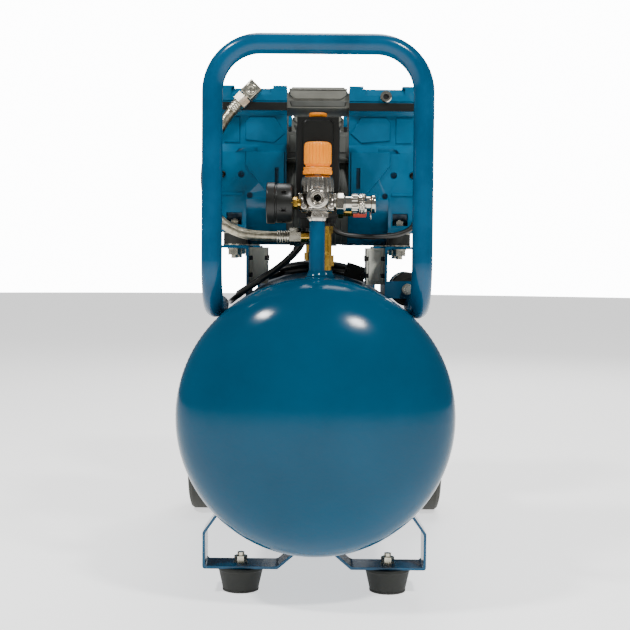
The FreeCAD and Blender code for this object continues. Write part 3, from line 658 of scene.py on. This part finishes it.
def casting_face(way, middle):
    """One face of the castings: what is cut from it, and its raised panels and ribs."""
    def at(depth):
        return middle + way * depth
    recess = along("X", [(at(58), 497), (at(FACE), 497), (at(47), 506), (at(47), 540), (at(51), 546),
                         (at(58), 546)], 30, 124)
    notch = along("Y", [(70, 496), (95, 496), (91, 501), (88, 501), (86, 505), (70, 505)],
                  *sorted((at(50), at(57))))
    holes = [placed(drum(radius, 0, 20, 28), (x, at(FACE - 8), z), facing("Y", way))
             for x, z, radius in ((88, SCREW_HEIGHT, 3.9), (78, 447, 3.5))]
    vent, panel_vent = [box(VENT_X, sorted((at(near), at(far))), VENT_Z)
                        for near, far in ((48, 60), (45, 62))]
    inner = carve(tapered(INNER_PANEL, at(FACE - 2), at(FACE + 2.2)), [panel_vent])
    ledge = along("X", [(at(54), 446), (at(FACE + 1.3), 447.5), (at(FACE + 1.3), 450), (at(54), 452)],
                  86, 117.5)
    panels = [inner, tapered(UPPER_PANEL, at(BLOCK_FACE), at(48.5)),
              tapered(CORNER_PANEL, at(BLOCK_FACE), at(48.2)), ledge]
    return both([recess, notch] + holes + [vent]), both(panels)


def screw_head(profile, reach, half_width, low, high, steps):
    """A turned screw head with a cross cut into it."""
    arms = [box(ends, sides, (low, high)) for ends, sides in (
        ((-reach, reach), (-half_width, half_width)), ((-half_width, half_width), (-reach, reach)))]
    return carve(lathe(profile, steps), arms)


def make_castings():
    """Both pumps' castings, with the black cross-head screws in their outer edges."""
    screws = []
    for pump, middle in PUMPS.items():
        cutters = []
        panels = []
        for way in (-1, 1):
            cut, raised = casting_face(way, middle)
            cutters += cut
            panels += raised
            screw = screw_head([(0, 2.4), (2.2, 2.3), (3.6, 1.5), (4.0, 0.4), (4.0, -1), (0, -1)],
                               2.6, 0.45, 0.8, 4, 28)
            screws += both([placed(screw, (110, middle + way * FACE, SCREW_HEIGHT), facing("Y", way))])
        cast = carve(copied(f"{pump}_crankcases"), cutters)
        piece(f"{pump}_pump_castings", [cast] + panels, "casting", bevel=0.5,
              replaced=[f"{pump}_crankcases"])
    piece("casting_screws", screws, "black_zinc", bevel=0.15)


def make_heads():
    """Cylinder heads: chamfered covers with proud corners, and one socket plug each."""
    chamfers = []
    for middle in PUMPS.values():
        for way in (-1, 1):
            edge = middle + way * FACE
            for low, high, slope, ends in ((562.5, 571, 6, (54, 100)), (553, 556, 1.6, (34, 120))):
                chamfers.append(along("X", [(edge + way, low), (edge, low), (edge - way * slope, high),
                                            (edge + way, high)], *ends))
    piece("cast_cylinder_heads", carve(copied("cylinder_heads"), both(chamfers)), "casting", bevel=0.8,
          replaced=["cylinder_heads"])
    plugs = []
    sockets = []
    for middle, way in ((PUMPS["front"], -1), (PUMPS["rear"], 1)):
        place = (-way * PLUG_SPOT[0], middle + way * FACE, PLUG_SPOT[1])
        plug = lathe([(0, 2.5), (3.4, 2.5), (3.4, 5), (5.6, 5), (6.6, 4), (6.6, -1), (0, -1)], 32)
        plug = carve(plug, [prism(hexagon(6), 1.2, 6)])
        plugs.append(placed(plug, place, facing("Y", way)))
        # A thin near-black hexagon inside each plug's socket: painted shade, not a part of the plug.
        sockets.append(placed(prism(hexagon(6.4), 2.4, 2.7), place, facing("Y", way)))
    piece("socket_plugs", plugs, "chrome", bevel=0.2)
    piece("plug_socket_shade", sockets, "painted_shade", bevel=0)


make_castings()
make_heads()


# ---- air outlet and switch ----

def at_column(shape):
    """Stand a shape, whose heights are the machine's own, on the riser's axis."""
    return placed(shape, (0, RISER_Y, 0))


def make_riser():
    """The painted riser with its chromed nut."""
    tube = lathe([(6.3, 345), (8.6, 345), (8.6, 417), (6.3, 417)])
    piece("riser_tube", at_column(tube), "tube_enamel", bevel=0, replaced=["riser_pipe"])
    nut = at_column(lathe([(6.3, 415.5), (9.2, 415.5), (10.4, 418), (10.4, 420.5), (6.3, 420.5)]))
    flats = at_column(prism(hexagon(21.5), 419.5, 427.2))
    bore = at_column(drum(6.3, 414, 429, 32))
    piece("riser_nut", [nut, carve(flats, [bore])], "cast_chrome", bevel=0.7, replaced=["riser_pipe"])


def make_regulator():
    """A cast body with a stepped front port and two side bosses."""
    def in_port(profile, steps=32):
        return placed(lathe(profile, steps), OUTLET, "-Y")
    core = at_column(lathe([(0, 427), (15.5, 427), (17.5, 429), (17.5, 446), (16, 447), (0, 447)]))
    flange = at_column(drum(20, 427, 430))
    port = in_port([(6, 34), (8.6, 34), (9, 33.2), (9, 32.4), (11.7, 31.6), (11.7, 26.5), (9.8, 24.5),
                    (9.8, 12), (0, 12), (0, 22), (6, 22)], 56)
    rim = in_port([(4.0, 30.5), (5.9, 30.5), (5.9, 29), (4.0, 29)], 40)
    link = placed(lathe([(0, 10), (7.9, 10), (7.9, 28.5), (0, 28.5)], 40), PORTS, "Y")
    bosses = [placed(lathe([(0, 10), (10.2, 10), (10.2, 16.5), (9.4, 17.6), (0, 17.6)], 40), PORTS, way)
              for way in ("X", "-X")]
    ribs = [at_column(box(ends, (-1.5, 1.5), (433, 446))) for ends in ((12, 20.6), (-20.6, -12))]
    lugs = [placed(lathe([(0, 0), (3.4, 0), (3.4, 2.6), (2.6, 3.4), (0, 3.4)], 24),
                   (x, RISER_Y - 15.5, 431.5), "-Y") for x in (-14.5, 14.5)]
    piece("regulator_casting", [core, flange, port, rim, link] + bosses + ribs + lugs, "cast_chrome",
          bevel=0.6, replaced=["regulator_body"])
    # A near-black disc on the floor of the port's bore: painted shade, not a part.
    piece("port_floor_shade", in_port([(0, 22.05), (5.7, 22.05), (5.7, 22.6), (0, 22.6)]), "painted_shade", bevel=0)
    piece("port_insert", in_port([(1.6, 22.6), (3.8, 22.6), (3.8, 27.5), (3.2, 28.2), (1.6, 28.2)]),
          "black_zinc", bevel=0.2)


def make_knob():
    """The regulator's ribbed bonnet and stem, with its collar and knob."""
    dome = relief_turned([(8, 447), (17.6, 447), (18, 447.6), (18, 456), (17.6, 459.5), (16.4, 462.8),
                          (14.2, 464.6), (8, 465)], grooves(18, 1.3, 447.5, 460, 1.5), 180, closed=False)
    piece("regulator_dome", [at_column(dome), at_column(drum(3.9, 464, 492.5, 32))], "cast_chrome",
          bevel=0, replaced=["regulator_bonnet"])
    collar = relief_turned([(4.05, 466), (15, 466), (15.85, 466.8), (15.85, 470.2), (15.1, 471),
                            (15.1, 472.2), (15.6, 473), (15, 474), (4.05, 474)],
                           grooves(36, 0.7, 466.5, 470.3, 2), 180)
    piece("ribbed_collar", at_column(collar), "orange_abs", "regulator_collar", 0,
          replaced=["regulator_collar"])
    knob = relief_turned([(4.05, 474.6), (12.8, 474.6), (13.2, 476.2), (14.7, 477.6), (15, 479.5),
                          (14.9, 496), (14.6, 498.2), (13.6, 500), (11.6, 501), (3, 501), (3, 500.6),
                          (0.02, 500.6), (0.02, 497.9), (4.05, 497.9)],
                         grooves(22, 0.9, 477.2, 498.4, 4), 220)
    piece("ribbed_knob", at_column(knob), "orange_abs", "regulator_knob", 0, replaced=["regulator_knob"])


def numeral(text, x, y, z):
    """Printed figures, 3.4 mm high, on a dial that faces away from the coupler."""
    curve = bpy.data.curves.new("figures", "FONT")
    curve.body = text
    curve.size = 3.4
    curve.align_x = "CENTER"
    curve.align_y = "CENTER"
    curve.extrude = 0.04
    mesh = baked(new_object("figures", curve))
    shape = bmesh.new()
    shape.from_mesh(mesh)
    bpy.data.meshes.remove(mesh)
    for vert in shape.verts:
        across, up, out = vert.co
        vert.co = (x - out, y - across, z + up)
    bmesh.ops.recalc_face_normals(shape, faces=shape.faces)
    return shape


def make_gauge():
    """A black gauge seen from its edge: a stepped bezel, a slotted case, dial, clear lens and stem."""
    def on_gauge(shape):
        return placed(shape, (-26, RISER_Y, PORT_HEIGHT), "-X")
    case = lathe([(0, 1), (17, 0), (20.5, 1.2), (21.6, 3.5), (21.6, 17.5), (20.9, 18), (20.9, 19.4),
                  (22.5, 20), (22.5, 28), (21.7, 29), (20, 29), (19.4, 27.4), (19.4, 21.4), (0, 21.4)], 96)
    case = carve(case, [spun(box((18.8, 24), (-2.2, 2.2), (8, 12.5)), radians(angle))
                        for angle in (200, 250, 300, 20, 110)])
    pin = drum(1.15, 21, 24.5, 24)
    piece("gauge_housing", [on_gauge(case), on_gauge(pin)], "black_abs", bevel=0.25,
          replaced=["gauge_case"])
    stem = prism(hexagon(12), -4.6, 0.6)
    thread = lathe([(0, -8.2), (4.8, -8.2), (4.8, -4.4), (0, -4.4)], 32)
    piece("gauge_stem", [on_gauge(stem), on_gauge(thread)], "brass", bevel=0.5, replaced=["gauge_case"])
    dial = lathe([(1.3, 21.45), (19.2, 21.45), (19.2, 21.9), (1.3, 21.9)], 72)
    piece("gauge_dial", on_gauge(dial), "dial", bevel=0)
    outer = 17.4
    figure_radius = 11.6
    dial_x = -47.95
    marks = []
    for tick in range(31):
        length, half_width = (3.4, 0.28) if tick % 5 == 0 else (1.8, 0.15)
        mark = box((-half_width, half_width), (outer - length, outer), (21.85, 21.98))
        marks.append(on_gauge(spun(mark, radians(-225 + 9 * tick))))
    for step in range(6):
        angle = radians(-135 + 54 * step)
        marks.append(numeral(str(2 * step), dial_x, RISER_Y - figure_radius * sin(angle),
                             PORT_HEIGHT + figure_radius * cos(angle)))
    piece("dial_marks", marks, "ink", bevel=0)
    lens = lathe([(0, 26.4), (19.3, 26.4), (19.3, 27.2), (14, 27.8), (0, 28.1)], 72)
    piece("gauge_lens", on_gauge(lens), "lens", bevel=0)


def cross_cut(angle, height):
    """The relief of the coupler's sleeve: a ribbed band, and a knurled band beside it."""
    if 45.4 < height < 51.2:
        turn = 13 * angle
        lean = 1.1 * (height - 48.3)
        return 0.75 * max(0.0, cos(turn + lean) * cos(turn - lean)) ** 0.7
    if 37.7 < height < 43.6:
        return 0.8 * (0.5 + 0.5 * cos(14 * angle)) ** 4
    return 0.0


def make_coupler():
    """A quick coupler: wrench hexagon, ribbed and knurled sleeve, and a proud lip round the bore."""
    body = lathe([(0, 17.4), (6.5, 17.4), (6.5, 20.5), (9.6, 21), (9.6, 29.4), (8.45, 30.2), (8.45, 57.4),
                  (9.2, 58.4), (10, 58.8), (10, 62), (9.4, 63), (5.5, 63), (5.5, 41), (0, 41)], 64)
    nut = prism(hexagon(20), 20.4, 28.6)
    piece("coupler_barrel", [placed(body, PORTS, "X"), placed(nut, PORTS, "X")], "chrome", bevel=0.5,
          replaced=["coupler_body"])
    profile = [(8.55, 37), (10.4, 37), (10.9, 37.8)]
    profile += [(10.9, 38.4 + 0.5 * step) for step in range(10)] + [(10.9, 43.7), (10, 44.2), (10, 44.9)]
    profile += [(11, 45.3 + 0.4 * step) for step in range(15)] + [(11, 51.4), (10.2, 53), (8.55, 53)]
    sleeve = relief_turned(profile, cross_cut, 208)
    piece("knurled_sleeve", placed(sleeve, PORTS, "X"), "chrome", "coupler_sleeve", 0,
          replaced=["coupler_sleeve"])


def make_safety_valve():
    """A brass relief valve with a red cap, beside the switch."""
    place = (13, SWITCH_Y, 429)
    stem = lathe([(0, 0), (4, 0), (4, 10.4), (6.4, 16), (6.4, 27.6), (0, 27.6)], 40)
    nut = prism(hexagon(15), 10.4, 16.2)
    piece("relief_valve", [placed(stem, place, "X"), placed(nut, place, "X")], "brass",
          replaced=["safety_valve_body"])
    cap = relief_turned([(0.02, 27.5), (7.1, 27.5), (7.5, 28.1), (7.5, 41.4), (6.9, 42.4), (0.02, 42.5)],
                        grooves(20, 0.6, 28, 41.5, 3), 160, closed=False)
    piece("relief_cap", placed(cap, place, "X"), "red_abs", bevel=0, replaced=["safety_valve_body"])


def make_switch():
    """A tall moulded cover with raised panels, its screws, and an orange pull knob."""
    front = -264.2
    panel = tapered([(-17.5, 452), (-17.5, 524), (-14, 528), (14, 528), (17.5, 524), (17.5, 452)],
                    -260, front, inset=1.6, edge=1.6)
    sides = [tapered([(-256, 452), (-256, 522), (-211, 522), (-211, 452)], side * 21, side * 24.2, "X", 1.6)
             for side in (-1, 1)]
    collar = placed(lathe([(7.2, 530), (11.5, 530), (11.5, 531), (10.6, 532.2), (7.2, 532.2)], 48),
                    (0, SWITCH_Y, 0))
    seam = along("Y", [(-23.6, 444), (-23.6, 446.4), (23.6, 446.4), (23.6, 444)], -262.6, -204.4)
    piece("switch_cover_panels", [panel, collar] + sides, "black_abs", bevel=0.5)
    piece("switch_seam", seam, "black_abs", bevel=0.5)
    screws = []
    for x in (-13, 13):
        screw = screw_head([(0, 1.4), (1.6, 1.3), (2.6, 0.6), (2.6, -1), (0, -1)], 1.8, 0.3, 0.5, 3, 24)
        screws.append(placed(screw, (x, front, 458), "-Y"))
    piece("switch_screws", screws, "black_zinc", bevel=0)
    knob = lathe([(0, 515), (7, 515), (7, 531.2), (7.6, 532.6), (9.6, 533.4), (10, 534.2), (10, 536.6),
                  (9.4, 537.7), (8, 538), (0, 538)], 64)
    piece("switch_button", placed(knob, (0, SWITCH_Y, 0)), "orange_abs", "switch_knob", 0,
          replaced=["switch_knob"])


# ---- hose fittings, ducts and motor shells ----

def ferrule(length):
    """A sleeve pressed on a hose end with four crimped rings."""
    profile = [(6.05, 0), (7.3, 0), (7.5, 0.4)]
    step = (length - 3) / 4
    for ring in range(4):
        low = 1.5 + ring * step
        profile += [(7.5, low), (6.9, low + step * 0.25), (6.9, low + step * 0.6), (7.5, low + step * 0.9)]
    profile += [(7.5, length - 0.5), (7.2, length), (6.05, length)]
    return lathe(profile, 40)


def make_fittings():
    """At each hose: a square elbow with its bolt and nut on the head, and a nut at the check valve."""
    elbows = []
    nuts = []
    for turn in (1, -1):
        def spot(*point):
            return point if turn == 1 else half_turn(point)
        elbow = spot(-76, -215, 565)
        down = (-turn, 0, -1)
        out = (0, -turn, 0)
        block = prism([(-7, -8.5), (7, -8.5), (8.5, -7), (8.5, 7), (7, 8.5), (-7, 8.5), (-8.5, 7),
                       (-8.5, -7)], -9, 8.5)
        seat = lathe([(0, 0), (8, 0), (8, 9), (6.6, 10), (6.6, 14), (0, 14)], 32)
        bolt = lathe([(0, 8), (6.4, 8), (6.4, 9.6), (5.6, 10.2), (3.4, 10.2), (3, 9.2), (0, 9.2)], 32)
        elbows += [aligned(block, elbow, down), aligned(seat, spot(-76, -196, 565), out),
                   aligned(bolt, elbow, out), aligned(drum(5.5, 8, 12, 32), elbow, down)]
        nuts += [aligned(prism(hexagon(17), 10, 20), elbow, down),
                 aligned(ferrule(15), spot(-88.4, -215, 552.6), (-12 * turn, -2 * turn, -14)),
                 placed(ferrule(14), spot(-44.5, -255, 399), facing("X", turn)),
                 placed(prism(hexagon(17.5), 0, 12.5), spot(-30.4, -255, 399), facing("X", turn))]
    piece("hose_elbows", elbows, "zinc", bevel=0.7, replaced=["hose_fittings"])
    piece("hose_nuts", nuts, "zinc", replaced=["hose_fittings"])


def make_ducts():
    """Moulded bars between the two heads of each pump, with a raised and grooved face at each end."""
    panels = []
    lips = []
    for middle in PUMPS.values():
        for way in (-1, 1):
            face = middle + way * DUCT_FACE
            panel = tapered([(-33.5, 571), (33.5, 571), (33.5, 563), (27, 558.4), (-27, 558.4),
                             (-33.5, 563)], face - way * 1.5, face + way * 2.2)
            groove = box((-40, 40), sorted((face, face + way * 4)), (568.2, 569.2))
            panels.append(carve(panel, [groove]))
            lips.append(tapered([(-33.5, 557), (33.5, 557), (31, 549.5), (-31, 549.5)],
                                face - way * 1.5, face + way * 0.9))
        for offset in (-30, -15, 0, 15, 30):
            panels.append(along("X", [(middle + offset - 2, 572), (middle + offset - 1.2, 573.4),
                                      (middle + offset + 1.2, 573.4), (middle + offset + 2, 572)], -28, 28))
    piece("duct_panels", panels, "grey_nylon", bevel=0.35)
    piece("duct_lips", lips, "dark_nylon", bevel=0.35)


def make_motor_trim():
    """Cooling ribs, a clamp band and a ledge on each motor's shell."""
    ribs = []
    for middle in PUMPS.values():
        for step in range(-4, 5):
            x = 7 * step
            ring = lathe([(54.5, x - 1.1), (55.9, x - 0.7), (55.9, x + 0.7), (54.5, x + 1.1)], 96)
            ribs.append(placed(ring, (0, middle, CRANK_HEIGHT), "X"))
        for way in (-1, 1):
            face = middle + way * SHELL_FACE
            proud = face + way * 2.4
            ribs.append(along("X", [(face - way, 493), (proud, 493), (proud, 491.2),
                                    (face + way * 9, 489.4), (face - way, 486)], -35.8, 35.8))
            ribs.append(tapered([(-33, 497), (-33, 518), (33, 518), (33, 497)], face - way,
                                face + way * 1.6))
    piece("motor_shell_ribs", ribs, "dark_nylon", bevel=0.25)


def make_mount_trim():
    """Straps round the capacitor boxes, and steel cups at the ends of the rubber buffers."""
    straps = []
    lids = []
    middle = PUMPS["front"]
    for low, high, buckle in ((58.2, 78.9, (57.0, 60.9)), (-78.9, -58.2, (-59.9, -57.0))):
        for z in (352, 372):
            straps.append(box((low, high), (middle - 25.9, middle + 35.9), (z, z + 5)))
            straps.append(box(buckle, (middle - 3, middle + 12), (z - 1, z + 6)))
        lids.append(along("Y", [(low + 3, 347), (low + 3, 384), (high - 3, 384), (high - 3, 347)],
                          middle - 26.2, middle - 24.5))
    piece("capacitor_straps", straps, "black_abs")
    piece("capacitor_lids", lids, "pale_case", bevel=0.6)
    cap = lathe([(0, 0.6), (12, 0.6), (13, 1.2), (18.6, 1.2), (19.9, 0), (19.9, -6), (0, -6)], 56)
    piece("run_capacitor_cap", placed(cap, (105.5, middle - 53.9, 339.8), "-Y"), "black_abs", bevel=0.3)
    cups = []
    for y in PUMPS.values():
        for x in (-96, 96):
            for way in (-1, 1):
                for z in (389.1, 403.2):
                    cup = lathe([(4.3, 0), (13.3, 0), (13.3, 1.6), (4.3, 1.6)], 40)
                    cups.append(placed(cup, (x, y + way * 43, z)))
    piece("buffer_plates", cups, "zinc", bevel=0.3)


def make_tank_trim():
    """Weld beads where the heads meet the barrel and round each bung, with the bungs themselves."""
    def ripple(height, count):
        return lambda angle, _: height * (1 + cos(count * angle))
    seam_y = 319
    shapes = []
    for y in (-seam_y, seam_y):
        bead = relief_turned(oval((149.4, 0), 0.9, 2.2, 8), ripple(0.12, 170), 1020)
        shapes.append(placed(bead, (0, y, TANK_HEIGHT), "Y"))
    for x, y in ((0, RISER_Y), (8, -255), (-8, 280)):
        foot = TANK_HEIGHT + sqrt(TANK_RADIUS ** 2 - x ** 2)
        bung = lathe([(8.7, foot - 10), (11.6, foot - 10), (11.4, foot + 2), (9.8, foot + 4.5),
                      (9.2, foot + 7), (8.7, foot + 7.3)], 48)
        bead = relief_turned(oval((11.0, -0.4), 1.8, 1.0, 8), ripple(0.15, 40), 240)
        shapes += [placed(bung, (x, y, 0)), placed(bead, (x, y, foot))]
    drain_boss = lathe([(6.6, 0), (14, 0), (14, 19.5), (13.4, 20), (6.6, 20)], 56)
    shapes.append(placed(drain_boss, (0, 0, 47)))
    piece("tank_bosses_and_welds", shapes, "enamel", bevel=0, replaced=["tank_bungs"])


def rounded_bends(node):
    """The frame's own mesh of a bent strip, with a round bend wherever it was folded."""
    bend_radius = 2.2
    shortest = 30  # a fold is at least this long
    thickness = 8  # faces narrower than this are the strip's edges
    strip = copied(node)
    bmesh.ops.remove_doubles(strip, verts=strip.verts, dist=0.01)
    bmesh.ops.dissolve_limit(strip, angle_limit=radians(1), verts=strip.verts, edges=strip.edges)
    bends = []
    for edge in strip.edges:
        run = edge.verts[1].co - edge.verts[0].co
        if len(edge.link_faces) != 2 or abs(run.y) < 0.99 * run.length or run.length < shortest:
            continue
        narrow = min(face.calc_area() / run.length for face in edge.link_faces)
        if narrow > thickness and edge.calc_face_angle() > radians(20):
            bends.append(edge)
    bmesh.ops.bevel(strip, geom=bends, offset=bend_radius, offset_type="OFFSET", segments=4, profile=0.5,
                    affect="EDGES")
    return strip


def make_brackets():
    for node, name in (("foot_brackets", "foot_straps"), ("wheel_brackets", "wheel_straps"),
                       ("left_pump_brackets", "left_pump_shelves"),
                       ("right_pump_brackets", "right_pump_shelves")):
        piece(name, rounded_bends(node), "tube_enamel", bevel=0.5, replaced=[node])


def make_foot_trim():
    """A rim at the top and a ring at the bottom of each rubber foot."""
    rims = []
    for x in (-83, 83):
        rim = lathe([(4.3, 27.9), (25.6, 27.9), (26, 27.2), (26, 24.6), (25.2, 23.6), (24.4, 23.4),
                     (4.3, 23.4)])
        ring = lathe([(18.7, 0), (20.4, 0.4), (20.6, 2.4), (19.9, 3), (18.7, 3)])
        rims += [placed(rim, (x, -249, 0)), placed(ring, (x, -249, 0.05))]
    piece("foot_rims", rims, "rubber", bevel=0)


def make_wheel_trim():
    """Tread blocks and two lines on each tyre, and spokes on each hub."""
    spoke_count = 6
    block_count = 48
    row_gap = 9.2
    for side, name in ((1, "right"), (-1, "left")):
        centre = (side * 149, 216, 75)
        way = facing("X", side)
        spokes = []
        for spoke in range(spoke_count):
            arm = along("Y", [(21, 22.2), (41, 23.4), (41, 20), (21, 20)], -3.6, 3.6)
            for vert in arm.verts:
                if vert.co.x > 30:
                    vert.co.y *= 1.35
            spokes.append(placed(spun(arm, tau * spoke / spoke_count), centre, way))
        piece(f"{name}_hub_spokes", spokes, "black_abs", f"{name}_wheel", 0.5)
        lines = [placed(lathe(oval((radius, 33), 0.8, 0.6, 6), 96), centre, way) for radius in (60, 63.5)]
        tread = []
        for step in range(block_count):
            for shift, gap in ((0, 0), (0.5, row_gap)):
                block = along("Y", [(74.2, 8), (74.95, 8.4), (74.95, 15.4), (74.2, 15.8)], -3.4, 3.4)
                bmesh.ops.translate(block, vec=(0, 0, gap), verts=block.verts)
                tread.append(placed(spun(block, tau * (step + shift) / block_count), centre, way))
        piece(f"{name}_tyre_tread", tread + lines, "tyre", f"{name}_wheel", 0)


make_fittings()
make_ducts()
make_motor_trim()
make_mount_trim()
make_tank_trim()
make_brackets()
make_foot_trim()
make_wheel_trim()
make_riser()
make_regulator()
make_knob()
make_gauge()
make_coupler()
make_safety_valve()
make_switch()


# ---- pieces kept from the frame ----

KEPT = {
    "enamel": ["tank_barrel", "tank_heads"],
    "tube_enamel": ["carry_handle"],
    "black_abs": ["fan_guards", "switch_base", "switch_cover", "switch_contacts", "mains_plug",
                  "left_wheel_hub", "right_wheel_hub", "drain_valve_handle", "valve_plates"],
    "grey_nylon": ["air_ducts"],
    "dark_nylon": ["motor_shells"],
    "orange_abs": ["front_fans", "rear_fans"],
    "red_abs": ["gauge_needle"],
    "pale_case": ["capacitors"],
    "rubber": ["rubber_feet", "rubber_mounts"],
    "tyre": ["left_wheel_tyre", "right_wheel_tyre"],
    "chrome": ["safety_valve_ring"],
    "zinc": ["fasteners", "wheel_axles"],
    "steel": ["stators", "bearings", "front_rotor", "rear_rotor"],
    "aluminium": ["front_left_piston", "front_right_piston", "rear_left_piston", "rear_right_piston"],
    "brass": ["check_valves", "drain_valve_body"],
}

EDGE_ROUNDING = {
    "fasteners": 0.4, "wheel_axles": 0.6, "check_valves": 0.5, "switch_base": 1.6, "switch_cover": 1.8,
    "air_ducts": 1.2, "motor_shells": 0.8, "capacitors": 1.2, "valve_plates": 0.6, "fan_guards": 0.7,
    "mains_plug": 1.5, "drain_valve_handle": 0.8, "rubber_mounts": 1.0,
}


def dress_kept_nodes():
    """Materials for the frame's own meshes, and rounded edges where they show."""
    for material, nodes in KEPT.items():
        for node in nodes:
            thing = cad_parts[node]
            for slot in thing.material_slots:
                slot.material = PAINT[material]
            if node in EDGE_ROUNDING:
                soften(thing, EDGE_ROUNDING[node])


dress_kept_nodes()
